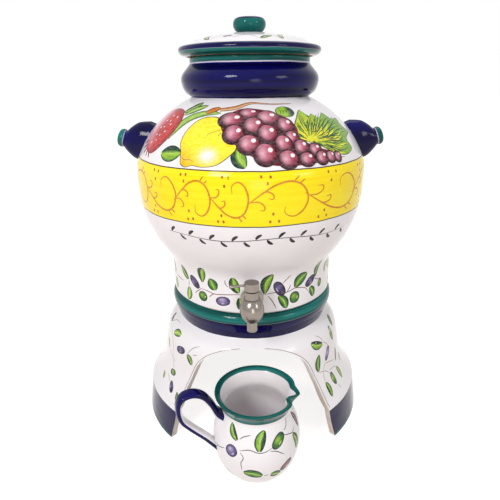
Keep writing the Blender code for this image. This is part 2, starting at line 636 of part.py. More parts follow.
def add_bonnet(steel, parent):
    """The ring that screws into the barrel's top and holds the plug down."""
    base = BARREL_TOP_RISE + TOUCH_GAP
    hole = STEM_RADIUS + TOUCH_GAP
    spigot = BARREL_BORE - TOUCH_GAP
    spigot_end = PLUG_RISE + TOUCH_GAP
    outline = [
        (hole, spigot_end), (spigot, spigot_end), (spigot, base), (BONNET_RADIUS, base),
        (BONNET_RADIUS, base + BONNET_HEIGHT - TAP_CHAMFER),
        (BONNET_RADIUS - TAP_CHAMFER, base + BONNET_HEIGHT), (hole, base + BONNET_HEIGHT),
    ]
    turned("tap_bonnet", outline, TAP_SIDES, steel, parent, hollow=True)


def shank_outline():
    """The threaded tube, by radius and distance from the tap's axis."""
    spigot_start = SHANK_SHOULDER - SHANK_SPIGOT_LENGTH
    collar_end = SHANK_COLLAR_START + SHANK_COLLAR_LENGTH
    return [
        (SHANK_INLET_BORE, spigot_start), (SHANK_SPIGOT_RADIUS, spigot_start),
        (SHANK_SPIGOT_RADIUS, SHANK_SHOULDER), (SHANK_NECK_RADIUS, SHANK_SHOULDER),
        (SHANK_NECK_RADIUS, SHANK_COLLAR_START), (SHANK_COLLAR_RADIUS, SHANK_COLLAR_START),
        (SHANK_COLLAR_RADIUS, collar_end), (SHANK_THREAD_RADIUS, collar_end),
        (SHANK_THREAD_RADIUS, SHANK_END - SHANK_CHAMFER),
        (SHANK_THREAD_RADIUS - SHANK_CHAMFER, SHANK_END), (SHANK_THREAD_BORE, SHANK_END),
        (SHANK_THREAD_BORE, SHANK_COLLAR_START), (SHANK_INLET_BORE, SHANK_SHOULDER),
    ]


def washer_outline(start, thickness, radius):
    """A flat ring on the threaded shank, by radius and distance from the tap's axis."""
    return [
        (THREAD_HOLE, start), (radius, start),
        (radius, start + thickness), (THREAD_HOLE, start + thickness),
    ]


def add_plate(steel, parent):
    """The dished round plate that shows against the jar round the shank."""
    end = PLATE_START + PLATE_THICKNESS
    outline = [
        (THREAD_HOLE, PLATE_START), (SHANK_COLLAR_RADIUS, PLATE_START),
        (PLATE_RADIUS - PLATE_DISH, PLATE_START + PLATE_DISH / 2),
        (PLATE_RADIUS, PLATE_START + PLATE_DISH), (PLATE_RADIUS, end), (THREAD_HOLE, end),
    ]
    turned_along_y("tap_plate", outline, TAP_SIDES, steel, parent, hollow=True)


def wall_cutter(name, radius, parent):
    """A drum of the jar's foot at one radius, seen from the tap's axis, for shaping washers."""
    half = PLATE_RADIUS + CUT_OVERRUN
    outline = [(0, -half), (radius, -half), (radius, half), (0, half)]
    drum = turned(name, outline, POT_SIDES, None, parent)
    drum.location = (0, TAP_REACH, 0)
    return drum


def add_soft_washers(rubber, parent):
    """Two soft washers, pressed to the curve of the wall on its outside and inside."""
    outer_length = SOFT_WASHER_THICKNESS + SOFT_WASHER_OVERLAP
    outer = turned_along_y(
        "outer_washer", washer_outline(OUTER_WASHER_START, outer_length, SOFT_WASHER_RADIUS),
        SMALL_SIDES, rubber, parent, hollow=True,
    )
    cut(outer, wall_cutter("outer_washer_trim", JAR_FOOT_RADIUS + TOUCH_GAP, parent))
    inner_start = INNER_WALL_START - SOFT_WASHER_OVERLAP
    inner_length = STEEL_WASHER_START - TOUCH_GAP - inner_start
    inner = turned_along_y(
        "inner_washer", washer_outline(inner_start, inner_length, SOFT_WASHER_RADIUS),
        SMALL_SIDES, rubber, parent, hollow=True,
    )
    bore = (JAR_FOOT_RADIUS - JAR_WALL) * math.cos(math.pi / POT_SIDES) - TOUCH_GAP
    cut(inner, wall_cutter("inner_washer_trim", bore, parent), "INTERSECT")


def add_nut(steel, parent):
    """The hexagon lock nut inside the jar."""
    shape = turned_shape(
        washer_outline(NUT_START, NUT_THICKNESS, NUT_ACROSS_FLATS / 2), NUT_FACETS, hollow=True
    )
    for vertex in shape.verts:
        around = math.atan2(vertex.co.y, vertex.co.x)
        radius = math.hypot(vertex.co.x, vertex.co.y)
        if radius > THREAD_HOLE + TOUCH_GAP:
            sector = math.tau / NUT_SIDES
            off_flat = (around % sector) - sector / 2
            reach = NUT_ACROSS_FLATS / 2 / math.cos(off_flat) / radius
            vertex.co.x *= reach
            vertex.co.y *= reach
    nut = add_object("lock_nut", shape, steel, parent)
    nut.rotation_euler = (-math.pi / 2, 0, 0)


def add_tap(steel, rubber, parent):
    """The fixed pieces of the tap, from the nozzle to the nut inside the jar."""
    add_barrel(steel, parent)
    add_nozzle(steel, parent)
    add_bonnet(steel, parent)
    turned_along_y("tap_shank", shank_outline(), SMALL_SIDES, steel, parent, hollow=True)
    add_plate(steel, parent)
    add_soft_washers(rubber, parent)
    ring = washer_outline(STEEL_WASHER_START, STEEL_WASHER_THICKNESS, SOFT_WASHER_RADIUS)
    turned_along_y("steel_washer", ring, SMALL_SIDES, steel, parent, hollow=True)
    add_nut(steel, parent)


def add_plug(steel, parent):
    """The turning plug: a side port and a bore down to the nozzle, two grooves and a stem."""
    groove = PLUG_RADIUS - 2 * O_RING_SECTION_RADIUS - TOUCH_GAP
    half = O_RING_SECTION_RADIUS + TOUCH_GAP
    upper = PLUG_RISE - O_RING_INSET
    lower = -PLUG_DROP + O_RING_INSET
    stem_top = CAP_BASE + STEM_DEPTH_IN_CAP
    grooves = []
    for height in (lower, upper):
        grooves += [
            (PLUG_RADIUS, height - half), (groove, height - half),
            (groove, height + half), (PLUG_RADIUS, height + half),
        ]
    outline = [
        (0, PLUG_PORT_RADIUS), (PLUG_PORT_RADIUS, PLUG_PORT_RADIUS), (PLUG_PORT_RADIUS, -PLUG_DROP),
        (PLUG_RADIUS, -PLUG_DROP), *grooves, (PLUG_RADIUS, PLUG_RISE), (STEM_RADIUS, PLUG_RISE),
        (STEM_RADIUS, stem_top), (0, stem_top),
    ]
    plug = turned("valve_plug", outline, SMALL_SIDES, steel, parent)
    out = PLUG_RADIUS + CUT_OVERRUN
    port = PLUG_PORT_RADIUS * math.cos(math.pi / ROD_SIDES)
    bore = [(0, 0), (port, 0), (port, out), (0, out)]
    drill = turned("plug_port_cutter", bore, ROD_SIDES, None, parent)
    drill.rotation_euler = (0, math.pi / 2, 0)
    cut(plug, drill)


def add_o_rings(rubber, parent):
    """The two rings that seal the plug above and below its port."""
    ring_radius = PLUG_RADIUS - O_RING_SECTION_RADIUS
    for name, height in (
        ("lower_o_ring", -PLUG_DROP + O_RING_INSET), ("upper_o_ring", PLUG_RISE - O_RING_INSET)
    ):
        turns = [math.tau * index / O_RING_FACETS for index in range(O_RING_FACETS)]
        outline = [
            (
                ring_radius + O_RING_SECTION_RADIUS * math.cos(turn),
                height + O_RING_SECTION_RADIUS * math.sin(turn),
            )
            for turn in turns
        ]
        turned(name, outline, SMALL_SIDES, rubber, parent, hollow=True)


def add_cap(steel, rubber, parent):
    """The cap on the stem, bored for the lever, and the dark seal under it."""
    hole = STEM_RADIUS + TOUCH_GAP
    socket_top = CAP_BASE + STEM_DEPTH_IN_CAP + TOUCH_GAP
    top = CAP_BASE + CAP_HEIGHT
    outline = [
        (0, socket_top), (hole, socket_top), (hole, CAP_BASE), (CAP_RADIUS, CAP_BASE),
        (CAP_RADIUS, top - TAP_CHAMFER), (CAP_RADIUS - TAP_CHAMFER, top), (0, top),
    ]
    cap = turned("tap_cap", outline, TAP_SIDES, steel, parent)
    seal_radius = CAP_RADIUS - SEAL_INSET
    seal = [
        (hole, SEAL_HEIGHT), (seal_radius, SEAL_HEIGHT),
        (seal_radius, SEAL_HEIGHT + SEAL_THICKNESS), (hole, SEAL_HEIGHT + SEAL_THICKNESS),
    ]
    turned("cap_seal", seal, SMALL_SIDES, rubber, parent, hollow=True)
    return cap


def add_lever(steel, cap, parent):
    """The rod that turns the cap. It leans a little below level and ends in a round tip."""
    root = CAP_RADIUS + TOUCH_GAP
    spigot_start = CAP_RADIUS - LEVER_SPIGOT_LENGTH
    side_end = LEVER_REACH - LEVER_TIP_RADIUS
    side = [
        (LEVER_RADIUS * across, root + (side_end - root) * along)
        for across, along in LEVER_SIDE_SHARES
    ]
    tip = [
        (LEVER_TIP_RADIUS * across, side_end + LEVER_TIP_RADIUS * along)
        for across, along in LEVER_END_SHARES
    ]
    outline = [
        (0, spigot_start), (LEVER_SPIGOT_RADIUS, spigot_start), (LEVER_SPIGOT_RADIUS, root),
        *side, *tip, (0, LEVER_REACH),
    ]
    place = (0, 0, CAP_BASE + CAP_HEIGHT / 2 + LEVER_RISE + CAP_RADIUS * math.sin(LEVER_DROOP))
    lean = (0, -math.pi / 2 - LEVER_DROOP, 0)
    lever = turned("tap_lever", outline, ROD_SIDES, steel, parent)
    lever.location = place
    lever.rotation_euler = lean
    hole = LEVER_SPIGOT_RADIUS + TOUCH_GAP
    start = spigot_start - TOUCH_GAP
    out = CAP_RADIUS + CUT_OVERRUN
    bore = [(0, start), (hole, start), (hole, out), (0, out)]
    drill = turned("lever_hole_cutter", bore, ROD_SIDES, None, parent)
    drill.location = place
    drill.rotation_euler = lean
    cut(cap, drill)


def jug_outside():
    """The jug's outside from its base up to its rim."""
    base = (JUG_BASE_RADIUS, 0)
    belly = (JUG_BELLY_RADIUS, JUG_BELLY_HEIGHT)
    neck = (JUG_NECK_RADIUS, JUG_HEIGHT - JUG_NECK_DROP)
    rim = (JUG_RIM_RADIUS, JUG_HEIGHT - JUG_RIM_EDGE)
    return [
        base, *between(base, belly, JUG_LOWER_SHARES), belly,
        *between(belly, neck, JUG_UPPER_SHARES), neck,
        *between(neck, rim, JUG_RIM_SHARES), rim,
    ]


def pull_lip(shape):
    """Draws the rim out into a pouring lip, pinched in on both sides and most at the front."""
    neck_height = JUG_HEIGHT - JUG_NECK_DROP
    for vertex in shape.verts:
        rise = min(max((vertex.co.z - neck_height) / JUG_NECK_DROP, 0), 1)
        radius = math.hypot(vertex.co.x, vertex.co.y)
        if rise == 0 or radius < JUG_NECK_RADIUS / 2:
            continue
        away = math.remainder(math.atan2(vertex.co.y, vertex.co.x) - LIP_AZIMUTH, math.tau)
        pull = math.exp(-((away / LIP_SPREAD) ** 2))
        pinch = math.exp(-(((abs(away) - LIP_PINCH_OFFSET) / LIP_SPREAD) ** 2))
        depth = LIP_NEAR_PINCH if away < 0 else LIP_FAR_PINCH
        moved = radius + rise * (LIP_REACH * pull - depth * pinch)
        vertex.co.x *= moved / radius
        vertex.co.y *= moved / radius
        vertex.co.z -= rise * LIP_DIP * pull


def add_jug(glaze, parent):
    """The jug's hollow body, with its lip."""
    outside = jug_outside()
    inner = inset(outside, JUG_WALL)
    floor = JUG_RECESS_DEPTH + JUG_WALL
    recess = JUG_BASE_RADIUS - JUG_RECESS_INSET
    rim_width = JUG_WALL - 2 * JUG_RIM_EDGE
    rim_top = [
        (JUG_RIM_RADIUS - JUG_RIM_EDGE, JUG_HEIGHT),
        (JUG_RIM_RADIUS - JUG_RIM_EDGE - rim_width, JUG_HEIGHT),
    ]
    inside = [point for point in inner[1:-1] if point[1] > floor]
    lowest = (JUG_BASE_RADIUS - JUG_WALL / 2, floor)
    outline = [
        (0, JUG_RECESS_DEPTH), (recess, JUG_RECESS_DEPTH), (recess + JUG_RECESS_DEPTH, 0),
        *outside, *rim_top, (JUG_RIM_RADIUS - JUG_WALL, JUG_HEIGHT - JUG_RIM_EDGE),
        *reversed(inside), lowest, (0, floor),
    ]
    shape = turned_shape(outline, JUG_SIDES)
    pull_lip(shape)
    add_object("jug", shape, glaze, parent)


def add_jug_handle(glaze, parent):
    """The strap from the rim out and down to the belly, trimmed to the jug's outside."""
    outward = Vector((math.cos(HANDLE_AZIMUTH), math.sin(HANDLE_AZIMUTH), 0))
    across = Vector((-outward.y, outward.x, 0))
    path = [
        outward * (JUG_RIM_RADIUS + HANDLE_REACH * reach) + Vector((0, 0, JUG_HEIGHT * up))
        for reach, up, _ in HANDLE_SECTION_SHARES
    ]
    rings = []
    for index, centre in enumerate(path):
        before = path[max(index - 1, 0)]
        after = path[min(index + 1, len(path) - 1)]
        inward = (after - before).normalized().cross(across)
        size = HANDLE_SECTION_SHARES[index][2]
        half_width, half_thickness = HANDLE_WIDTH * size / 2, HANDLE_THICKNESS * size / 2
        rings.append(oval_ring(
            centre, across, inward, half_width, half_thickness, ROD_SIDES, HANDLE_FULLNESS
        ))
    handle = lofted("jug_handle", rings, glaze, parent)
    filled = [(0, 0), *outset(jug_outside(), TOUCH_GAP)]
    top = (filled[-1][0], JUG_HEIGHT + TOUCH_GAP)
    cut(handle, turned("handle_trim", [*filled, top, (0, top[1])], JUG_SIDES, None, parent))


def build():
    """Builds the set, each moving group hung on an empty at its own axis."""
    clear_scene()
    white = finish("white_glaze", (0.9, 0.87, 0.86), 0.12)
    cobalt = finish("cobalt_glaze", (0.012, 0.008, 0.12), 0.1)
    teal = finish("teal_glaze", (0.02, 0.24, 0.2), 0.12)
    steel = finish("tap_steel", (0.56, 0.52, 0.48), 0.3, metallic=1.0)
    rubber = finish("black_rubber", (0.02, 0.02, 0.02), 0.6)

    stand_axis = add_axis("stand_axis", (0, JAR_AXIS_Y, 0))
    jar_axis = add_axis("jar_axis", (0, 0, LEDGE_HEIGHT + TOUCH_GAP), stand_axis)
    tap_axis = add_axis("tap_axis", (0, -TAP_REACH, TAP_HEIGHT), jar_axis)
    lid_axis = add_axis("lid_axis", (0, 0, 0), jar_axis)
    jug_axis = add_axis("jug_axis", (JUG_SIDEWAYS, -JUG_REACH, 0), stand_axis)

    add_stand(white, stand_axis)
    add_jar(white, jar_axis)
    add_lug("lug_right", 1, cobalt, jar_axis)
    add_lug("lug_left", -1, cobalt, jar_axis)
    add_lid(white, teal, lid_axis)
    add_tap(steel, rubber, tap_axis)
    add_plug(steel, tap_axis)
    add_o_rings(rubber, tap_axis)
    cap = add_cap(steel, rubber, tap_axis)
    add_lever(steel, cap, tap_axis)
    add_jug(white, jug_axis)
    add_jug_handle(cobalt, jug_axis)


build()
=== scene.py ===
"""Looks of a painted oil jar on its arched stand, with a lid, a steel tap and a pouring jug.

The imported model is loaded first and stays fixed. Each sub-assembly is a class that holds its
sizes in millimetres, builds its meshes round that frame and dresses them. Heights are above the
floor, azimuths are in degrees from the front, positive towards +X.
"""

import logging
import math
from dataclasses import dataclass
from enum import Enum
from typing import Callable, ClassVar, Iterable, Sequence, Union

import bmesh
import bpy
import numpy as np
from mathutils import Matrix, Vector


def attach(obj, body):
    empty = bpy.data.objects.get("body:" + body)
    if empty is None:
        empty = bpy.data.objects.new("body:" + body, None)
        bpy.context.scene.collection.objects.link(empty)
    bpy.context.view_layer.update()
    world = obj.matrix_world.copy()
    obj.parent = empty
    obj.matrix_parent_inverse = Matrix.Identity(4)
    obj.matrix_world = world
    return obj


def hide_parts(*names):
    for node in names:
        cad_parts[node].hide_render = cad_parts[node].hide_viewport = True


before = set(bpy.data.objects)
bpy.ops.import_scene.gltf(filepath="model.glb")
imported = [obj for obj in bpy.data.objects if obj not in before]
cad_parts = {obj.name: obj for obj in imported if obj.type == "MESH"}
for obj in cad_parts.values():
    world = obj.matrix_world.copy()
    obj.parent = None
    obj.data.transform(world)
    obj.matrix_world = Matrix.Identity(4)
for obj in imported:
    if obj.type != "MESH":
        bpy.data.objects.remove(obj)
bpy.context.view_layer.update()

log = logging.getLogger("oil_jar")

MM = 0.001
SHARP = math.radians(38)
TINY = 1e-6
CORNER_SHARE = 0.45
ROUNDING_SHARES = (0.0, 0.33, 0.67, 1.0)
Point = tuple[float, float]
Colour = tuple[float, float, float]
Spot = tuple[float, float, float]
Tinter = Callable[[np.ndarray, np.ndarray, np.ndarray], np.ndarray]

AXIS_Y = 24.3
TAP_HEIGHT = 197.1
NO_END = 1000.0
MAIN_AXIS = Matrix.Translation((0, AXIS_Y * MM, 0))


class Body(Enum):
    """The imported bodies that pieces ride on."""

    STAND = "stand"
    JAR = "jar"
    LID = "lid"
    VALVE = "valve"
    JUG = "jug"


class Slot(Enum):
    """The record's material slots."""

    WHITE = "white_glaze"
    COBALT = "cobalt_glaze"
    TEAL = "teal_glaze"
    STEEL = "tap_steel"


class Pigment(Enum):
    """The colours after firing, as the eye sees them, from 0 to 255."""

    TIN_WHITE = (240, 236, 239)
    INNER_WHITE = (238, 233, 233)
    LILAC = (196, 180, 216)
    CREAM = (222, 200, 172)
    CLAY = (196, 160, 126)
    LEMON = (255, 224, 0)
    SUN = (255, 236, 40)
    AMBER = (240, 186, 20)
    OCHRE = (212, 132, 0)
    RUST = (176, 88, 10)
    COBALT = (14, 8, 104)
    NAVY = (4, 2, 52)
    AZURE = (56, 66, 150)
    TEAL = (0, 74, 70)
    SEA = (36, 146, 140)
    PINE = (8, 48, 38)
    BOTTLE = (16, 72, 32)
    LEAF = (70, 132, 34)
    LIME = (150, 194, 44)
    PALE_LIME = (206, 226, 128)
    CRIMSON = (158, 10, 34)
    VERMILION = (200, 44, 40)
    PINK = (214, 120, 146)
    BLUSH = (238, 190, 202)
    MAUVE = (158, 62, 96)
    MAROON = (52, 6, 24)
    PLUM = (50, 36, 80)
    VIOLET = (112, 96, 152)
    AUBERGINE = (34, 24, 48)
    BARK = (122, 78, 62)
    INK = (34, 28, 32)
    GREY = (150, 138, 134)

    @property
    def colour(self) -> np.ndarray:
        """The pigment in linear light."""
        seen = np.array(self.value) / 255
        return np.where(seen <= 0.04045, seen / 12.92, ((seen + 0.055) / 1.055) ** 2.4)


Feed = Union[bpy.types.NodeSocket, Pigment, Colour, float]


# Outlines and meshes


def smooth_run(points: Sequence[Point], step: float) -> list[Point]:
    """Lays a smooth line through points.

    Args:
        points: The points that the line passes through.
        step: The spacing of the result, in millimetres.

    Returns:
        Points along the line, its first and last included.
    """
    given = np.array(points, float)
    if len(given) == 2:
        steps = np.linalg.norm(given[1] - given[0]) / step
        count = max(1, math.ceil(steps - TINY))
        return [tuple(given[0] + (given[1] - given[0]) * k / count) for k in range(count + 1)]
    padded = np.vstack([2 * given[0] - given[1], given, 2 * given[-1] - given[-2]])
    line: list[Point] = [tuple(given[0])]
    for index in range(1, len(padded) - 2):
        a, b, c, d = padded[index - 1:index + 3]
        knots = np.cumsum([0.0, *(max(np.linalg.norm(q - p), TINY) ** 0.5
                                  for p, q in ((a, b), (b, c), (c, d)))])
        count = max(1, int(round(np.linalg.norm(c - b) / step)))
        for t in np.linspace(knots[1], knots[2], count + 1)[1:]:
            ab = ((knots[1] - t) * a + t * b) / knots[1]
            bc = ((knots[2] - t) * b + (t - knots[1]) * c) / (knots[2] - knots[1])
            cd = ((knots[3] - t) * c + (t - knots[2]) * d) / (knots[3] - knots[2])
            abc = ((knots[2] - t) * ab + t * bc) / knots[2]
            bcd = ((knots[3] - t) * bc + (t - knots[1]) * cd) / (knots[3] - knots[1])
            line.append(tuple(((knots[2] - t) * abc + (t - knots[1]) * bcd)
                              / (knots[2] - knots[1])))
    return line


def smooth_loop(points: Sequence[Point], step: float) -> np.ndarray:
    """Lays a smooth closed line through points and gives it without its repeated start.

    Args:
        points: The points that it passes, in order round it.
        step: The spacing of the result, in millimetres.

    Returns:
        The line's points.
    """
    ring = [tuple(map(float, point)) for point in points]
    line = np.array(smooth_run([*ring[-2:], *ring, *ring[:2]], step))
    away = np.hypot(*(line - np.array(ring[0])).T)
    starts = np.flatnonzero(away < TINY)
    return line[starts[0]:starts[-1]]


def by_shares(start: Point, end: Point, shares: Sequence[Point]) -> list[Point]:
    """Places points on the way from one point of an outline to the next.

    Args:
        start: The radius and height that the stretch starts from.
        end: The radius and height that it ends at.
        shares: Each point's shares of the change in radius and of the change in height.

    Returns:
        The points, without the start and the end.
    """
    (radius, height), (last_radius, last_height) = start, end
    return [(radius + across * (last_radius - radius), height + up * (last_height - height))
            for across, up in shares]


def inset(points: Sequence[Point], wall: float) -> list[Point]:
    """Moves a stretch of an outline inward, square to the surface.

    Args:
        points: The outside's points, bottom first.
        wall: The wall's thickness, in millimetres.

    Returns:
        The inside's points, in the same order.
    """
    moved = []
    for index, (radius, height) in enumerate(points):
        before = Vector(points[max(index - 1, 0)])
        after = Vector(points[min(index + 1, len(points) - 1)])
        along = (after - before).normalized()
        moved.append((radius - wall * along.y, height + wall * along.x))
    return moved


@dataclass(frozen=True)
class Run:
    """One smooth stretch of a turned outline, and the finish it wears."""

    points: tuple[Point, ...]
    skin: int = 0


def corners(points: Sequence[Point], skin: int = 0) -> list[Run]:
    """Joins points by straight runs of one finish."""
    return [Run(pair, skin) for pair in zip(points, points[1:])]


def joined_outline(runs: Sequence[Run], step: float, soft: float) -> tuple[list[Point], list[int]]:
    """Joins runs into one outline and rounds the corners between them.

    Args:
        runs: The stretches in order, each ending where the next begins.
        step: The spacing of points along smooth stretches, in millimetres.
        soft: How far each corner is cut back before it is rounded, in millimetres.

    Returns:
        The points, and the skin of each stretch between two of them.
    """
    points: list[Point] = []
    skins: list[int] = []
    for run in runs:
        line = smooth_run(run.points, step)
        if points:
            corner = np.array(points.pop())
            before = np.array(points[-1])
            after = np.array(line[1])
            back = min(soft, CORNER_SHARE * float(np.linalg.norm(before - corner)))
            ahead = min(soft, CORNER_SHARE * float(np.linalg.norm(after - corner)))
            start = corner + (before - corner) / np.linalg.norm(before - corner) * back
            end = corner + (after - corner) / np.linalg.norm(after - corner) * ahead
            for t in ROUNDING_SHARES:
                points.append(tuple((1 - t) ** 2 * start + 2 * t * (1 - t) * corner + t * t * end))
            skins.extend([skins[-1], run.skin, run.skin])
            line = line[1:]
            skins.append(run.skin)
            points.extend(line)
            skins.extend([run.skin] * (len(line) - 1))
        else:
            points.extend(line)
            skins.extend([run.skin] * (len(line) - 1))
    return points, skins


def add_mesh(
    name: str, vertices: np.ndarray, faces: Iterable[Sequence[int]], finishes: Sequence,
    skins: Sequence[int] | None = None,
) -> bpy.types.Object:
    """Makes a smooth object of vertices and faces.

    Args:
        name: The piece's name.
        vertices: One row for each vertex, in metres in the row frame.
        faces: The vertex numbers of each face.
        finishes: The materials in the order that skins count them.
        skins: The material number of each face, or None for the first.

    Returns:
        The object, linked into the scene.
    """
    mesh = bpy.data.meshes.new(name)
    mesh.from_pydata([tuple(v) for v in vertices], [], [tuple(f) for f in faces])
    for finish in finishes:
        mesh.materials.append(finish)
    if skins is not None:
        mesh.polygons.foreach_set("material_index", np.asarray(skins, np.int32))
    mesh.validate()
    mesh.shade_smooth()
    mesh.set_sharp_from_angle(angle=SHARP)
    made = bpy.data.objects.new(name, mesh)
    bpy.context.scene.collection.objects.link(made)
    return made


def turned(
    name: str, outline: tuple[list[Point], list[int]], sides: int, finishes: Sequence,
    place: Matrix, closed: bool = False,
) -> bpy.types.Object:
    """Turns an outline about its upright axis.

    Args:
        name: The piece's name.
        outline: Points and skins, as joined_outline gives them.
        sides: The number of steps round the axis.
        finishes: The materials in the order that skins count them.
        place: Where the axis stands, in metres. The outline's heights run along its Z.
        closed: Whether the outline's end joins its beginning, round a hollow section.

    Returns:
        The turned piece.
    """
    points, skins = outline
    ring_of: list[list[int]] = []
    vertices: list[tuple[float, float, float]] = []
    turns = np.linspace(0, math.tau, sides, endpoint=False)
    if closed and math.dist(points[0], points[-1]) < 1e-4:
        points = points[:-1]
    for radius, height in points:
        start = len(vertices)
        if radius < TINY:
            vertices.append((0.0, 0.0, height * MM))
            ring_of.append([start] * sides)
        else:
            vertices.extend((radius * MM * math.sin(t), -radius * MM * math.cos(t), height * MM)
                            for t in turns)
            ring_of.append(list(range(start, start + sides)))
    faces, face_skins = [], []
    rows = list(zip(ring_of, ring_of[1:] + ([ring_of[0]] if closed else [])))
    for index, (low, high) in enumerate(rows):
        skin = skins[min(index, len(skins) - 1)]
        for k in range(sides):
            n = (k + 1) % sides
            face = list(dict.fromkeys((low[k], low[n], high[n], high[k])))
            if len(face) > 2:
                faces.append(face)
                face_skins.append(skin)
    world = np.array([place @ Vector(v) for v in vertices])
    return add_mesh(name, world, faces, finishes, face_skins)


def lofted(
    name: str, rings: Sequence[Sequence[Vector]], finishes: Sequence,
    skin_at: Callable[[int, int], int] = lambda row, column: 0,
) -> bpy.types.Object:
    """Skins a closed piece over rings that hold the same number of points.

    Args:
        name: The piece's name.
        rings: The rings in order, in metres.
        finishes: Its materials.
        skin_at: Gives the number of the material between two rings at a column.

    Returns:
        The lofted piece, closed at both ends by a cone of faces.
    """
    count = len(rings[0])
    vertices = [tuple(point) for ring in rings for point in ring]
    faces = [
        (row * count + k, row * count + (k + 1) % count,
         (row + 1) * count + (k + 1) % count, (row + 1) * count + k)
        for row in range(len(rings) - 1) for k in range(count)
    ]
    skins = [skin_at(row, k) for row in range(len(rings) - 1) for k in range(count)]
    for row in (0, len(rings) - 1):
        centre = sum((Vector(point) for point in rings[row]), Vector()) / count
        vertices.append(tuple(centre))
        hub = len(vertices) - 1
        for k in range(count):
            edge = (row * count + k, row * count + (k + 1) % count)
            faces.append((hub, edge[1], edge[0]) if row == 0 else (hub, *edge))
            skins.append(skin_at(min(row, len(rings) - 2), k))
    piece = add_mesh(name, np.array(vertices), faces, finishes, skins)
    face_outward(piece)
    return piece


def face_outward(piece: bpy.types.Object) -> None:
    """Turns a closed piece's faces outward.

    Args:
        piece: A closed piece.
    """
    shape = bmesh.new()
    shape.from_mesh(piece.data)
    bmesh.ops.recalc_face_normals(shape, faces=shape.faces)
    shape.to_mesh(piece.data)
    shape.free()


def carve(piece: bpy.types.Object, cutter: bpy.types.Object) -> None:
    """Takes a cutter's shape out of a piece and removes the cutter.

    Args:
        piece: The piece that loses material.
        cutter: The closed shape that is taken away; its material dresses the cut.
    """
    modifier = piece.modifiers.new("carve", "BOOLEAN")
    modifier.operation = "DIFFERENCE"
    modifier.solver = "EXACT"
    modifier.material_mode = "TRANSFER"
    modifier.object = cutter
    bpy.context.view_layer.update()
    shown = piece.evaluated_get(bpy.context.evaluated_depsgraph_get())
    mesh = bpy.data.meshes.new_from_object(shown)
    piece.modifiers.clear()
    piece.data = mesh
    mesh.set_sharp_from_angle(angle=SHARP)
    bpy.data.objects.remove(cutter)


def settle(
    piece: bpy.types.Object, body: Body, slot: Slot, *nodes: str,
) -> bpy.types.Object:
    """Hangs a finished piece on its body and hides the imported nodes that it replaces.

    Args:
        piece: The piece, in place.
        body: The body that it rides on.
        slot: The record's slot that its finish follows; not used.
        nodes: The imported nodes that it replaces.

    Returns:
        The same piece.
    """
    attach(piece, body.value)
    if nodes:
        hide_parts(*nodes)
    log.info("%s rides on %s, %d faces", piece.name, body.value, len(piece.data.polygons))
    return piece


# Finishes


class Sockets:
    """Short calls for laying nodes out in a tree."""

    def __init__(self, tree: bpy.types.NodeTree) -> None:
        """Starts on an empty tree."""
        self.tree = tree
        self.tree.nodes.clear()

    def add(
        self, kind: str, feeds: dict[str | int, Feed] | None = None, **settings: object,
    ) -> bpy.types.Node:
        """Adds a node.

        Args:
            kind: Its type name without the common beginning.
            feeds: A value, a pigment or an output socket for each input, by name or number.
            settings: The node's own properties.

        Returns:
            The node.
        """
        node = self.tree.nodes.new("ShaderNode" + kind)
        for name, value in settings.items():
            setattr(node, name, value)
        for key, value in (feeds or {}).items():
            socket = node.inputs[key]
            if isinstance(value, Pigment):
                value = tuple(value.colour)
            if isinstance(value, bpy.types.NodeSocket):
                self.tree.links.new(value, socket)
            elif isinstance(value, tuple) and socket.type == "RGBA":
                socket.default_value = (*value, 1.0)
            else:
                socket.default_value = value
        return node

    def feed(self, node: bpy.types.Node, name: str, value: bpy.types.NodeSocket) -> None:
        """Links an output socket to a node's input."""
        self.tree.links.new(value, node.inputs[name])

    def maths(self, operation: str, *values: Feed) -> bpy.types.NodeSocket:
        """Adds a sum of one or two values and gives its result."""
        return self.add("Math", dict(enumerate(values)), operation=operation).outputs[0]

    def mixed(self, factor: Feed, first: Feed, second: Feed) -> bpy.types.NodeSocket:
        """Mixes two colours and gives the result."""
        return self.add("Mix", {0: factor, 6: first, 7: second}, data_type="RGBA").outputs[2]

    def ramp(
        self, value: Feed, low: float, high: float, out_low: float = 0.0, out_high: float = 1.0,
    ) -> bpy.types.NodeSocket:
        """Maps a range smoothly onto another one.

        Args:
            value: What is mapped.
            low: Where the range begins.
            high: Where it ends.
            out_low: What its beginning becomes.
            out_high: What its end becomes.

        Returns:
            The mapped value.
        """
        feeds = {"Value": value, "From Min": low, "From Max": high,
                 "To Min": out_low, "To Max": out_high}
        return self.add("MapRange", feeds, interpolation_type="SMOOTHSTEP").outputs[0]

    def relief(
        self, shader: bpy.types.Node, height: bpy.types.NodeSocket, strength: float, rise: float,
    ) -> None:
        """Raises a shader's surface by a height map, whose full rise is in metres."""
        bump = self.add("Bump", {"Height": height, "Strength": strength, "Distance": rise})
        self.feed(shader, "Normal", bump.outputs[0])


@dataclass(frozen=True)
class Grain:
    """Noise that is stretched by its own scales across and upright, per metre."""

    across: float
    upright: float
    detail: float = 2.0

    def lay(self, sockets: Sockets, place: bpy.types.NodeSocket) -> bpy.types.NodeSocket:
        """Adds the noise.

        Args:
            sockets: The tree that it is laid in.
            place: The point on the surface.

        Returns:
            The noise's value.
        """
        scaled = sockets.add("VectorMath", {0: place, 1: (self.across, self.across, self.upright)},
                             operation="MULTIPLY")
        noise = sockets.add("TexNoise", {"Vector": scaled.outputs[0], "Scale": 1.0,
                                         "Detail": self.detail})
        return noise.outputs["Fac"]


def new_finish(name: str) -> tuple[bpy.types.Material, Sockets, bpy.types.Node]:
    """Starts a material with one principled shader.

    Args:
        name: The material's name.

    Returns:
        The material, its sockets and the shader.
    """
    material = bpy.data.materials.new(name)
    material.use_nodes = True
    sockets = Sockets(material.node_tree)
    shader = sockets.add("BsdfPrincipled")
    sockets.add("OutputMaterial", {"Surface": shader.outputs[0]})
    return material, sockets, shader


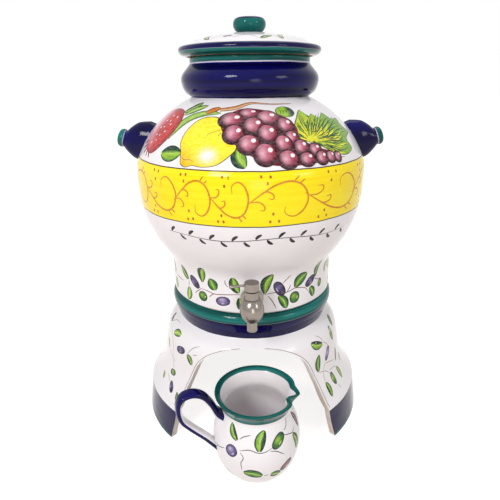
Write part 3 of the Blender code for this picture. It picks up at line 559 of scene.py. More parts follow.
def new_effect(
    name: str, inputs: dict[str, float], outputs: Sequence[str],
) -> tuple[Sockets, bpy.types.Node, bpy.types.Node]:
    """Starts a shader node group that several finishes share.

    Args:
        name: The group's name.
        inputs: Its number sockets and their usual values; it also takes the Place vector.
        outputs: The numbers that it gives.

    Returns:
        The group's sockets, its input node and its output node.
    """
    tree = bpy.data.node_groups.new(name, "ShaderNodeTree")
    tree.interface.new_socket(name="Place", in_out="INPUT", socket_type="NodeSocketVector")
    for label, value in inputs.items():
        socket = tree.interface.new_socket(
            name=label, in_out="INPUT", socket_type="NodeSocketFloat")
        socket.default_value = value
    for label in outputs:
        tree.interface.new_socket(name=label, in_out="OUTPUT", socket_type="NodeSocketFloat")
    sockets = Sockets(tree)
    return sockets, tree.nodes.new("NodeGroupInput"), tree.nodes.new("NodeGroupOutput")


@dataclass(frozen=True)
class BrushWork:
    """Level brush work: streaks round the pot, a broad wash, and edges that wander."""

    fine: Grain = Grain(9.0, 520.0, 3.0)
    bold: Grain = Grain(5.0, 190.0)
    broad: Grain = Grain(22.0, 40.0)
    edge: Grain = Grain(30.0, 4.0)
    fine_share: float = 0.45
    bold_share: float = 0.55
    streak_range: tuple[float, float] = (0.36, 0.64)
    wash_range: tuple[float, float] = (0.3, 0.7)

    def build(self) -> bpy.types.NodeTree:
        """Makes the group.

        Returns:
            The group, for each finish to place.
        """
        sockets, taken, given = new_effect(
            "brush_work", {"Streak Scale": 1.0, "Wander": 1.0}, ("Streak", "Wash", "Wobble"))
        place = sockets.add("VectorMath", {0: taken.outputs["Place"],
                                           "Scale": taken.outputs["Streak Scale"]},
                            operation="SCALE").outputs[0]
        fine = sockets.maths("MULTIPLY", self.fine.lay(sockets, place), self.fine_share)
        bold = sockets.maths("MULTIPLY", self.bold.lay(sockets, place), self.bold_share)
        streak = sockets.ramp(sockets.maths("ADD", fine, bold), *self.streak_range)
        wash = sockets.ramp(self.broad.lay(sockets, place), *self.wash_range)
        shift = sockets.maths("SUBTRACT", self.edge.lay(sockets, place), 0.5)
        wobble = sockets.maths("MULTIPLY", shift, taken.outputs["Wander"])
        for label, value in (("Streak", streak), ("Wash", wash), ("Wobble", wobble)):
            sockets.feed(given, label, value)
        return sockets.tree


@dataclass(frozen=True)
class GlazeSkin:
    """A thick glaze's skin: slow ripples with fine pits as relief, and uneven gloss."""

    ripple: Grain = Grain(34.0, 46.0, 1.0)
    pits: Grain = Grain(900.0, 900.0, 1.0)
    patches: Grain = Grain(60.0, 60.0)
    patch_range: tuple[float, float, float, float] = (0.35, 0.75, 0.7, 1.5)

    def build(self) -> bpy.types.NodeTree:
        """Makes the group.

        Returns:
            The group, for each finish to place.
        """
        sockets, taken, given = new_effect(
            "glaze_skin", {"Ripple": 1.0, "Pits": 0.1, "Gloss": 0.1}, ("Relief", "Roughness"))
        place = taken.outputs["Place"]
        ripple = sockets.maths("MULTIPLY", self.ripple.lay(sockets, place),
                               taken.outputs["Ripple"])
        pits = sockets.maths("MULTIPLY", self.pits.lay(sockets, place), taken.outputs["Pits"])
        patchy = sockets.ramp(self.patches.lay(sockets, place), *self.patch_range)
        sockets.feed(given, "Relief", sockets.maths("ADD", ripple, pits))
        sockets.feed(given, "Roughness", sockets.maths("MULTIPLY", patchy, taken.outputs["Gloss"]))
        return sockets.tree


@dataclass(frozen=True)
class Effects:
    """The groups that the finishes share, and how a glaze refracts and rises."""

    brush: bpy.types.NodeTree
    glaze: bpy.types.NodeTree
    refraction: float = 1.4
    strength: float = 0.5
    rise: float = 0.0012

    def place(self, sockets: Sockets) -> bpy.types.NodeSocket:
        """The point on the surface, in metres."""
        return sockets.add("TexCoord").outputs["Object"]

    def brushed(
        self, sockets: Sockets, place: bpy.types.NodeSocket, scale: float, wander: float,
    ) -> bpy.types.Node:
        """Places the brush work in a material."""
        feeds = {"Place": place, "Streak Scale": scale, "Wander": wander}
        return sockets.add("Group", feeds, node_tree=self.brush)

    def glazed(
        self, sockets: Sockets, shader: bpy.types.Node, place: bpy.types.NodeSocket, gloss: float,
    ) -> None:
        """Lays a glaze's relief and gloss on a shader.

        Args:
            sockets: The material's tree.
            shader: Its shader.
            place: The point on the surface.
            gloss: The glaze's usual roughness.
        """
        node = sockets.add("Group", {"Place": place, "Gloss": gloss}, node_tree=self.glaze)
        sockets.relief(shader, node.outputs["Relief"], self.strength, self.rise)
        sockets.feed(shader, "Roughness", node.outputs["Roughness"])
        shader.inputs["IOR"].default_value = self.refraction


@dataclass(frozen=True)
class Band:
    """A ring of glaze painted between two heights, in millimetres, with a streak colour."""

    low: float
    high: float
    pigment: Pigment
    streak: Pigment
    share: float = 0.35
    soft: float = 0.4


@dataclass(frozen=True)
class BandedGlaze:
    """A glaze with rings painted round it."""

    name: str
    ground: Pigment
    tint: Pigment
    bands: tuple[Band, ...] = ()
    tint_share: float = 0.12
    gloss: float = 0.07
    scale: float = 1.0
    wander: float = 1.6
    shine: float = 0.24

    def build(self, effects: Effects) -> bpy.types.Material:
        """Makes the material.

        Args:
            effects: The groups that the finishes share.

        Returns:
            The material.
        """
        material, sockets, shader = new_finish(self.name)
        place = effects.place(sockets)
        brush = effects.brushed(sockets, place, self.scale, self.wander)
        upright = sockets.add("SeparateXYZ", {0: place}).outputs["Z"]
        height = sockets.maths("ADD", sockets.maths("MULTIPLY", upright, 1 / MM),
                               brush.outputs["Wobble"])
        wash = sockets.maths("MULTIPLY", brush.outputs["Wash"], self.tint_share)
        colour = sockets.mixed(wash, self.ground, self.tint)
        for band in self.bands:
            streak = sockets.maths("MULTIPLY", brush.outputs["Streak"], band.share)
            paint = sockets.mixed(streak, band.pigment, band.streak)
            above = sockets.ramp(height, band.low - band.soft, band.low + band.soft)
            below = sockets.ramp(height, band.high - band.soft, band.high + band.soft, 1.0, 0.0)
            colour = sockets.mixed(sockets.maths("MULTIPLY", above, below), colour, paint)
        sockets.feed(shader, "Base Color", colour)
        effects.glazed(sockets, shader, place, self.gloss)
        shader.inputs["Specular IOR Level"].default_value = self.shine
        return material


@dataclass(frozen=True)
class PaintedMarks:
    """The glaze of the hand-painted marks, whose colours the marks carry."""

    name: str = "painted_marks"
    attribute: str = "paint"
    mottle: Grain = Grain(260.0, 420.0, 3.0)
    mottle_range: tuple[float, float] = (0.3, 0.7)
    deep_range: tuple[float, float, float, float] = (0.0, 0.45, 0.1, 0.0)
    thin_share: float = 0.07
    gloss: float = 0.1
    shine: float = 0.2
    black: Colour = (0.0, 0.0, 0.0)

    def build(self, effects: Effects) -> bpy.types.Material:
        """Makes the material.

        Args:
            effects: The groups that the finishes share.

        Returns:
            The material.
        """
        material, sockets, shader = new_finish(self.name)
        place = effects.place(sockets)
        carried = sockets.add("Attribute", attribute_name=self.attribute).outputs["Color"]
        mottle = sockets.ramp(self.mottle.lay(sockets, place), *self.mottle_range)
        thin = sockets.mixed(sockets.maths("MULTIPLY", mottle, self.thin_share), carried,
                             Pigment.TIN_WHITE)
        deep = sockets.mixed(sockets.ramp(mottle, *self.deep_range), thin, self.black)
        sockets.feed(shader, "Base Color", deep)
        effects.glazed(sockets, shader, place, self.gloss)
        shader.inputs["Specular IOR Level"].default_value = self.shine
        return material


@dataclass(frozen=True)
class BareClay:
    """The unglazed foot and seats, cream and brown with dark grains."""

    name: str
    grain: Grain = Grain(700.0, 700.0, 6.0)
    cloud: Grain = Grain(40.0, 60.0, 4.0)
    cloud_range: tuple[float, float] = (0.3, 0.7)
    speck_range: tuple[float, float, float, float] = (0.6, 0.7, 0.0, 0.35)
    strength: float = 0.4
    rise: float = 0.0006
    roughness: float = 0.82

    def build(self, effects: Effects) -> bpy.types.Material:
        """Makes the material.

        Args:
            effects: The groups that the finishes share.

        Returns:
            The material.
        """
        material, sockets, shader = new_finish(self.name)
        place = effects.place(sockets)
        grain, cloud = self.grain.lay(sockets, place), self.cloud.lay(sockets, place)
        body = sockets.mixed(sockets.ramp(cloud, *self.cloud_range), Pigment.CREAM, Pigment.CLAY)
        specks = sockets.ramp(grain, *self.speck_range)
        sockets.feed(shader, "Base Color", sockets.mixed(specks, body, Pigment.BARK))
        sockets.relief(shader, grain, self.strength, self.rise)
        shader.inputs["Roughness"].default_value = self.roughness
        return material


@dataclass(frozen=True)
class TurnedSteel:
    """Steel with the fine rings that turning and polishing leave."""

    name: str
    centre: Spot
    rings: Grain
    smudge: Grain = Grain(160.0, 160.0, 3.0)
    smudge_range: tuple[float, float, float, float] = (0.35, 0.75, 0.0, 0.4)
    colour: Colour = (0.26, 0.23, 0.205)
    dark_share: float = 0.8
    roughness: float = 0.11
    ring_roughness: float = 0.16
    smudge_roughness: float = 0.1
    strength: float = 0.25
    rise: float = 0.0001

    def build(self, effects: Effects) -> bpy.types.Material:
        """Makes the material.

        Args:
            effects: The groups that the finishes share.

        Returns:
            The material.
        """
        material, sockets, shader = new_finish(self.name)
        place = sockets.add("VectorMath", {0: effects.place(sockets), 1: self.centre},
                            operation="SUBTRACT").outputs[0]
        rings, smudge = self.rings.lay(sockets, place), self.smudge.lay(sockets, place)
        dark = tuple(self.dark_share * part for part in self.colour)
        colour = sockets.mixed(sockets.ramp(smudge, *self.smudge_range), self.colour, dark)
        sockets.feed(shader, "Base Color", colour)
        rough = sockets.maths("ADD", sockets.maths("MULTIPLY", rings, self.ring_roughness),
                              sockets.maths("MULTIPLY", smudge, self.smudge_roughness))
        sockets.feed(shader, "Roughness", sockets.maths("ADD", rough, self.roughness))
        sockets.relief(shader, rings, self.strength, self.rise)
        shader.inputs["Metallic"].default_value = 1.0
        return material


@dataclass(frozen=True)
class Rubber:
    """The matt black seals, faintly dusty."""

    name: str = "seal_rubber"
    dust: Grain = Grain(500.0, 500.0, 4.0)
    dust_range: tuple[float, float, float, float] = (0.5, 0.8, 0.0, 0.5)
    rough_range: tuple[float, float, float, float] = (0.3, 0.7, 0.5, 0.72)
    black: Colour = (0.016, 0.016, 0.017)
    dusty: Colour = (0.05, 0.048, 0.045)
    strength: float = 0.3
    rise: float = 0.0002

    def build(self, effects: Effects) -> bpy.types.Material:
        """Makes the material.

        Args:
            effects: The groups that the finishes share.

        Returns:
            The material.
        """
        material, sockets, shader = new_finish(self.name)
        dust = self.dust.lay(sockets, effects.place(sockets))
        colour = sockets.mixed(sockets.ramp(dust, *self.dust_range), self.black, self.dusty)
        sockets.feed(shader, "Base Color", colour)
        sockets.feed(shader, "Roughness", sockets.ramp(dust, *self.rough_range))
        sockets.relief(shader, dust, self.strength, self.rise)
        return material


# Walls and marks


class Wall:
    """A pot's outside, on which painted marks are placed by azimuth and height."""

    def __init__(self, axis: Point, runs: Sequence[Run], step: float) -> None:
        """Takes the outside's runs, bottom first, as the pot itself is turned from them.

        Args:
            axis: Where the pot's axis meets the floor, in millimetres.
            runs: The runs of its outside.
            step: The spacing of points along them.
        """
        points = [point for run in runs for point in smooth_run(run.points, step)]
        keep = [0, *(k for k in range(1, len(points))
                     if math.dist(points[k - 1], points[k]) > TINY)]
        self.axis = axis
        self.radii, self.heights = np.array([points[k] for k in keep]).T
        steps = np.hypot(np.diff(self.radii), np.diff(self.heights))
        self.lengths = np.concatenate([[0.0], np.cumsum(steps)])
        rise, spread = (np.gradient(side, self.lengths) for side in (self.heights, self.radii))
        scale = np.hypot(rise, spread)
        self.out_r, self.out_z = rise / scale, -spread / scale

    def length_at(self, height: float) -> float:
        """The distance along the wall at which it reaches a height."""
        return float(np.interp(height, self.heights, self.lengths))

    def lay(
        self, azimuths: np.ndarray, lengths: np.ndarray, lifts: np.ndarray,
    ) -> tuple[np.ndarray, np.ndarray]:
        """Places points over the wall.

        Args:
            azimuths: In degrees from the front.
            lengths: Along the wall from its foot, in millimetres.
            lifts: Above the surface, in millimetres.

        Returns:
            The points in metres, and the wall's outward directions there.
        """
        radius, height, out_r, out_z = (
            np.interp(lengths, self.lengths, side)
            for side in (self.radii, self.heights, self.out_r, self.out_z))
        sine, cosine = np.sin(np.radians(azimuths)), np.cos(np.radians(azimuths))
        radius, height = radius + lifts * out_r, height + lifts * out_z
        points = np.stack(
            [self.axis[0] + radius * sine, self.axis[1] - radius * cosine, height], -1)
        size = np.hypot(out_r, out_z)
        facing = np.stack([out_r * sine, -out_r * cosine, out_z], -1) / size[..., None]
        return points * MM, facing


@dataclass(frozen=True)
class Chart:
    """A flat map of the wall round one mark, in millimetres."""

    wall: Wall
    azimuth: float
    length: float

    @classmethod
    def round(cls, wall: Wall, marks: Sequence[Point]) -> "Chart":
        """The chart in the middle of some azimuth and height pairs."""
        azimuth, height = np.mean(np.array(marks, float), axis=0)
        return cls(wall, float(azimuth), wall.length_at(float(height)))

    @property
    def radius(self) -> float:
        """The wall's radius in the chart's middle."""
        return float(np.interp(self.length, self.wall.lengths, self.wall.radii))

    def flat(self, marks: Sequence[Point]) -> np.ndarray:
        """Azimuth and height pairs as places on the chart.

        Args:
            marks: Azimuth and height pairs.

        Returns:
            Millimetres across and up for each, from the chart's middle.
        """
        return np.array([(math.radians(azimuth - self.azimuth) * self.radius,
                          self.wall.length_at(height) - self.length)
                         for azimuth, height in marks])

    def back(self, flat: np.ndarray) -> tuple[np.ndarray, np.ndarray]:
        """Places on the chart as azimuths and lengths."""
        return (self.azimuth + np.degrees(flat[..., 0] / self.radius),
                self.length + flat[..., 1])


def blend(first: np.ndarray, second: np.ndarray, share: np.ndarray | float) -> np.ndarray:
    """Mixes two colours by a share for each point."""
    share = np.clip(np.asarray(share, float), 0, 1)[..., None]
    return first * (1 - share) + second * share


class Painting:
    """Marks of thick glaze on one wall, each a closed lens that sits in the wall's surface."""

    cell: float = 2.6
    fine_cell: float = 1.8
    sunk: float = -0.03
    deep: float = -0.4
    edge: float = 0.12
    first_lift: float = 0.05
    level_lift: float = 0.012
    edge_share: float = 0.3
    rim_share: float = 0.6
    tint_share: float = 0.94
    inner_share: float = 0.985
    hub_share: float = 0.03
    ribbon_shade: float = 0.05
    disc_shade: float = 0.04

    def __init__(self, wall: Wall, seed: int) -> None:
        """Starts with no marks.

        Args:
            wall: The wall that is painted.
            seed: Where the random draws start.
        """
        self.wall = wall
        self.random = np.random.default_rng(seed)
        self.turn = 0.0
        self.azimuths: list[float] = []
        self.lengths: list[float] = []
        self.lifts: list[float] = []
        self.tints: list[np.ndarray] = []
        self.faces: list[tuple[int, ...]] = []

    def chart(self, marks: Sequence[Point]) -> Chart:
        """A flat map round some marks."""
        return Chart.round(self.wall, marks)

    def add(self, chart: Chart, flat: np.ndarray, lifts: np.ndarray, tints: np.ndarray) -> int:
        """Adds vertices.

        Args:
            chart: The flat map that the places are on.
            flat: The places, in millimetres.
            lifts: How far each lies above the wall.
            tints: The colour of each.

        Returns:
            The number of the first of them.
        """
        first = len(self.azimuths)
        azimuths, lengths = chart.back(flat)
        self.azimuths.extend((azimuths + self.turn).ravel())
        self.lengths.extend(lengths.ravel())
        self.lifts.extend(np.ravel(lifts))
        self.tints.extend(tints.reshape(-1, 3))
        return first

    def ribbon(
        self, chart: Chart, line: Sequence[Point], widths: Sequence[float],
        tints: Sequence[Pigment], level: int = 0, rim: Pigment | None = None,
        rim_width: float = 0.7,
    ) -> None:
        """Lays a band of glaze along a line.

        Args:
            chart: The flat map that the line is drawn on.
            line: The places that its middle passes, on the chart.
            widths: Its full widths at even shares of its length.
            tints: Its colours across, from the left of the way along it to the right.
            level: What lies over it has a higher level.
            rim: The colour of its outline, or None for none.
            rim_width: The outline's width.
        """
        step = self.cell if rim else self.fine_cell
        middle = np.array(smooth_run([tuple(p) for p in line], step))
        along = np.concatenate([[0], np.cumsum(np.hypot(*np.diff(middle, axis=0).T))])
        half = np.interp(along / along[-1], np.linspace(0, 1, len(widths)), widths) / 2
        way = np.gradient(middle, axis=0)
        way /= np.hypot(*way.T)[:, None]
        left = np.stack([-way[:, 1], way[:, 0]], -1)
        inner = half - np.minimum(self.edge, self.edge_share * half)
        core = half - np.minimum(rim_width, self.rim_share * half) if rim else inner
        colours = [tint.colour for tint in tints] * (2 if len(tints) == 1 else 1)
        outer = self.tint_share if rim else 1.0
        spread = np.linspace(outer, -outer, len(colours))
        offsets = [half, *([inner, core] if rim else []), *(core * s for s in spread),
                   *([-core, -inner] if rim else []), -half]
        edge_first, edge_last = ([rim.colour] * 3, [rim.colour] * 3) if rim else (
            [colours[0]], [colours[-1]])
        row = np.array([*edge_first, *colours, *edge_last])
        offsets = np.array(offsets).T
        flat = middle[:, None] + left[:, None] * offsets[..., None]
        lifts = np.full(offsets.shape, self.first_lift + self.level_lift * level)
        lifts[:, [0, -1]] = self.sunk
        lifts[[0, -1]] = self.sunk
        shade = 1 + self.ribbon_shade * self.random.standard_normal(offsets.shape)[..., None]
        tinted = row * shade
        columns = offsets.shape[1]
        flat = np.concatenate([flat, middle[:, None]], axis=1)
        lifts = np.concatenate([lifts, np.full((len(middle), 1), self.deep)], axis=1)
        tinted = np.concatenate([tinted, tinted[:, :1]], axis=1)
        first = self.add(chart, flat, lifts, tinted)
        ring = columns + 1
        for k in range(len(middle) - 1):
            low, high = first + k * ring, first + (k + 1) * ring
            self.faces.extend((low + c, high + c, high + (c + 1) % ring, low + (c + 1) % ring)
                              for c in range(ring))
        last = first + (len(middle) - 1) * ring
        self.faces.append(tuple(range(first, first + ring)))
        self.faces.append(tuple(range(last + ring - 1, last - 1, -1)))

    def disc(
        self, chart: Chart, outline: np.ndarray, colour_at: Tinter, level: int = 0,
        rim: Pigment | None = None, rim_width: float = 0.7,
    ) -> None:
        """Fills a closed outline about its chart's middle.

        Args:
            chart: The flat map that the outline is drawn on.
            outline: Its places, anticlockwise.
            colour_at: Gives colours for places and their shares of the way out.
            level: What lies over it has a higher level.
            rim: The colour of its outline, or None for none.
            rim_width: The outline's width.
        """
        mean = float(np.hypot(*outline.T).mean())
        core = 1 - (rim_width / mean if rim else self.edge / mean)
        count = max(2, round(mean * core / self.cell))
        inner = self.inner_share if rim else 1.0
        shares = [*(core * k / count * inner for k in range(1, count + 1)),
                  *([core, 1 - self.edge / mean] if rim else []), 1.0]
        flat = np.array([outline * share for share in shares])
        grid = np.broadcast_to(np.array(shares)[:, None], flat.shape[:2])
        tints = colour_at(flat[..., 0], flat[..., 1], grid)
        tints = tints * (1 + self.disc_shade * self.random.standard_normal(grid.shape)[..., None])
        if rim:
            tints[-3:] = rim.colour
        lifts = np.full(grid.shape, self.first_lift + self.level_lift * level)
        lifts[-1] = self.sunk
        sides = len(outline)
        first = self.add(chart, flat, lifts, tints)
        top = self.first_lift + self.level_lift * level
        middle = np.zeros((2, 2))
        ends = colour_at(middle[:, 0], middle[:, 1], np.zeros(2))
        hub = self.add(chart, middle, np.array([top, self.deep - self.hub_share * mean]), ends)
        for k in range(sides):
            n = (k + 1) % sides
            self.faces.append((hub, first + k, first + n))
            for ring in range(len(shares) - 1):
                low, high = first + ring * sides, first + (ring + 1) * sides
                self.faces.append((low + k, high + k, high + n, low + n))
            outer = first + (len(shares) - 1) * sides
            self.faces.append((hub + 1, outer + n, outer + k))

    def stroke(
        self, marks: Sequence[Point], width: float, pigment: Pigment, level: int = 0,
        ends: tuple[float, float] = (0.5, 0.35),
    ) -> None:
        """Draws a thin line through azimuth and height pairs, thinner at its ends.

        Args:
            marks: Azimuth and height pairs.
            width: The line's full width, in millimetres.
            pigment: Its colour.
            level: What lies over it has a higher level.
            ends: The shares of the width at its two ends.
        """
        chart = self.chart(marks)
        widths = [width * ends[0], width, width, width, width * ends[1]]
        self.ribbon(chart, chart.flat(marks), widths, [pigment], level)

    def piece(self, name: str, finish: bpy.types.Material, body: Body) -> None:
        """Makes one piece of all the marks and settles it on its body.

        Args:
            name: The piece's name.
            finish: The finish of the painted marks.
            body: The body that it rides on.
        """
        points, facing = self.wall.lay(
            np.array(self.azimuths), np.array(self.lengths), np.array(self.lifts))
        made = add_mesh(name, points, self.faces, [finish])
        face_outward(made)
        made.data.normals_split_custom_set_from_vertices([tuple(way) for way in facing])
        paint = made.data.color_attributes.new("paint", "FLOAT_COLOR", "POINT")
        colours = np.ones((len(points), 4))
        colours[:, :3] = np.clip(np.array(self.tints), 0, 1)
        paint.data.foreach_set("color", colours.astype(np.float32).ravel())
        settle(made, body, Slot.WHITE)


class LeafTone(Enum):
    """A leaf's pigments, from the left of its stalk to the right."""

    LEFT_DARK = (Pigment.PINE, Pigment.BOTTLE, Pigment.LIME, Pigment.LIME, Pigment.LEAF)
    RIGHT_DARK = (Pigment.LEAF, Pigment.LIME, Pigment.LIME, Pigment.BOTTLE, Pigment.PINE)
    DEEP = (Pigment.BOTTLE, Pigment.LEAF, Pigment.LIME, Pigment.LEAF, Pigment.BOTTLE)
    FRESH = (Pigment.LEAF, Pigment.LIME, Pigment.PALE_LIME, Pigment.LIME, Pigment.LEAF)
    DUSKY = (Pigment.PLUM, Pigment.BARK, Pigment.VIOLET, Pigment.BARK, Pigment.PLUM)
    INKED = (Pigment.INK, Pigment.INK, Pigment.INK)


class FruitTone(Enum):
    """A small fruit's pigments: its lit middle, its flesh and its outline."""

    DARK = (Pigment.VIOLET, Pigment.PLUM, Pigment.AUBERGINE)
    PURPLE = (Pigment.LILAC, Pigment.VIOLET, Pigment.PLUM)
    GREEN = (Pigment.LIME, Pigment.LEAF, Pigment.PINE)
    BROWN = (Pigment.MAUVE, Pigment.BARK, Pigment.INK)


@dataclass(frozen=True)
class Leaf:
    """One narrow leaf from its stalk to its tip, as azimuth and height, with its width."""

    base: Point
    tip: Point
    width: float
    tone: LeafTone = LeafTone.RIGHT_DARK
    bend: float = 0.1
    level: int = 0
    outline: float = 1.15

    width_shares: ClassVar[tuple[float, ...]] = (0.14, 0.7, 1.04, 1.2, 1.2, 1.06, 0.74, 0.12)
    plain_width: ClassVar[float] = 4.5
    rib_widths: ClassVar[tuple[float, ...]] = (0.4, 0.7, 0.3)
    rib_shares: ClassVar[tuple[float, ...]] = (0.14, 0.16)
    vein_widths: ClassVar[tuple[float, ...]] = (0.3, 0.65, 0.25)
    vein_shares: ClassVar[tuple[float, ...]] = (0.3, 0.32)
    vein_side_shares: ClassVar[tuple[float, ...]] = (0.24, 0.9, 0.8)

    def paint(self, painting: Painting) -> None:
        """Lays the leaf, its pale midrib and a dark vein beside it.

        Args:
            painting: Takes the marks.
        """
        chart = painting.chart((self.base, self.tip))
        start, end = chart.flat((self.base, self.tip))
        way = end - start
        aside = np.array([-way[1], way[0]])
        middle = (start + end) / 2 + aside * self.bend
        rim = Pigment.INK if self.tone in (LeafTone.DUSKY, LeafTone.INKED) else Pigment.PINE
        painting.ribbon(chart, (start, middle, end), [self.width * s for s in self.width_shares],
                        self.tone.value, self.level, rim, self.outline)
        if self.width < self.plain_width:
            return
        pale = Pigment.LILAC if self.tone is LeafTone.DUSKY else Pigment.PALE_LIME
        foot, end_gap = self.rib_shares
        painting.ribbon(chart, (start + way * foot, middle, end - way * end_gap),
                        self.rib_widths, [pale], self.level + 1)
        side = -1.0 if self.tone is LeafTone.LEFT_DARK else 1.0
        offset, low, high = self.vein_side_shares
        over = aside / np.hypot(*aside) * self.width * offset * side
        foot, end_gap = self.vein_shares
        painting.ribbon(chart, (start + way * foot + over * low, middle + over,
                                end - way * end_gap + over * high),
                        self.vein_widths, [Pigment.BOTTLE], self.level + 1)


@dataclass(frozen=True)
class Olive:
    """One olive by its two ends, as azimuth and height, with its width."""

    base: Point
    tip: Point
    width: float
    tone: FruitTone = FruitTone.DARK
    level: int = 0

    rim: ClassVar[float] = 1.3
    least_sides: ClassVar[int] = 14
    round_share: ClassVar[float] = 3.4
    side: ClassVar[float] = 1.7
    swell_share: ClassVar[float] = 0.05
    lit_shares: ClassVar[tuple[float, ...]] = (0.2, 0.3)
    glint_shares: ClassVar[tuple[float, ...]] = (-0.5, -0.1, 0.35)
    glint_ends: ClassVar[float] = 0.3
    glint_width_share: ClassVar[float] = 0.26

    def paint(self, painting: Painting) -> None:
        """Lays the fruit and its glint.

        Args:
            painting: Takes the marks.
        """
        chart = painting.chart((self.base, self.tip))
        start, end = chart.flat((self.base, self.tip))
        long, wide = math.dist(start, end) / 2, self.width / 2
        along = (end - start) / (2 * long)
        across = np.array([along[1], -along[0]])
        sides = max(self.least_sides, int(self.round_share * (long + wide) / self.side))
        turns = np.linspace(0, math.tau, sides, endpoint=False)
        swell = 1 + self.swell_share * np.cos(2 * turns)
        outline = (along * (long * np.cos(turns))[:, None]
                   - across * (wide * swell * np.sin(turns))[:, None])
        lit, flesh, dark = (pigment.colour for pigment in self.tone.value)

        def colour_at(u: np.ndarray, v: np.ndarray, share: np.ndarray) -> np.ndarray:
            """The fruit is lit to the upper left and dark round its edge.

            Args:
                u: Millimetres to the right of the chart's middle.
                v: Millimetres up from it.
                share: The shares of the way out to the edge.

            Returns:
                The colours.
            """
            aside, above = self.lit_shares
            away = np.hypot(u + aside * wide, v - above * wide) / max(long, wide)
            body = blend(lit, flesh, away * 1.9 - 0.1)
            return blend(body, dark, (share - 0.4) * 1.5)

        painting.disc(chart, outline, colour_at, self.level, self.tone.value[2], self.rim)
        glint = np.array([along * long * t + across * wide * (0.5 - 0.25 * t * t)
                          for t in self.glint_shares])
        shine = Pigment.PALE_LIME if self.tone is FruitTone.GREEN else Pigment.LILAC
        widths = [self.glint_ends, wide * self.glint_width_share, self.glint_ends]
        painting.ribbon(chart, glint, widths, [shine], self.level + 1)


@dataclass(frozen=True)
class Sprig:
    """A twig of olives: leaves and fruits with the fine lines that carry them."""

    leaves: tuple[Leaf, ...]
    olives: tuple[Olive, ...]
    twigs: tuple[tuple[Point, ...], ...]
    twig_width: float = 1.1
    twig_pigment: Pigment = Pigment.BARK

    def paint(self, painting: Painting, turns: Sequence[float] = (0.0,)) -> None:
        """Lays the sprig at each turn.

        Args:
            painting: Takes the marks.
            turns: How far round the pot each repeat lies, in degrees.
        """
        for turn in turns:
            painting.turn = turn
            for twig in self.twigs:
                painting.stroke(twig, self.twig_width, self.twig_pigment)
            for mark in (*self.leaves, *self.olives):
                mark.paint(painting)
        painting.turn = 0.0


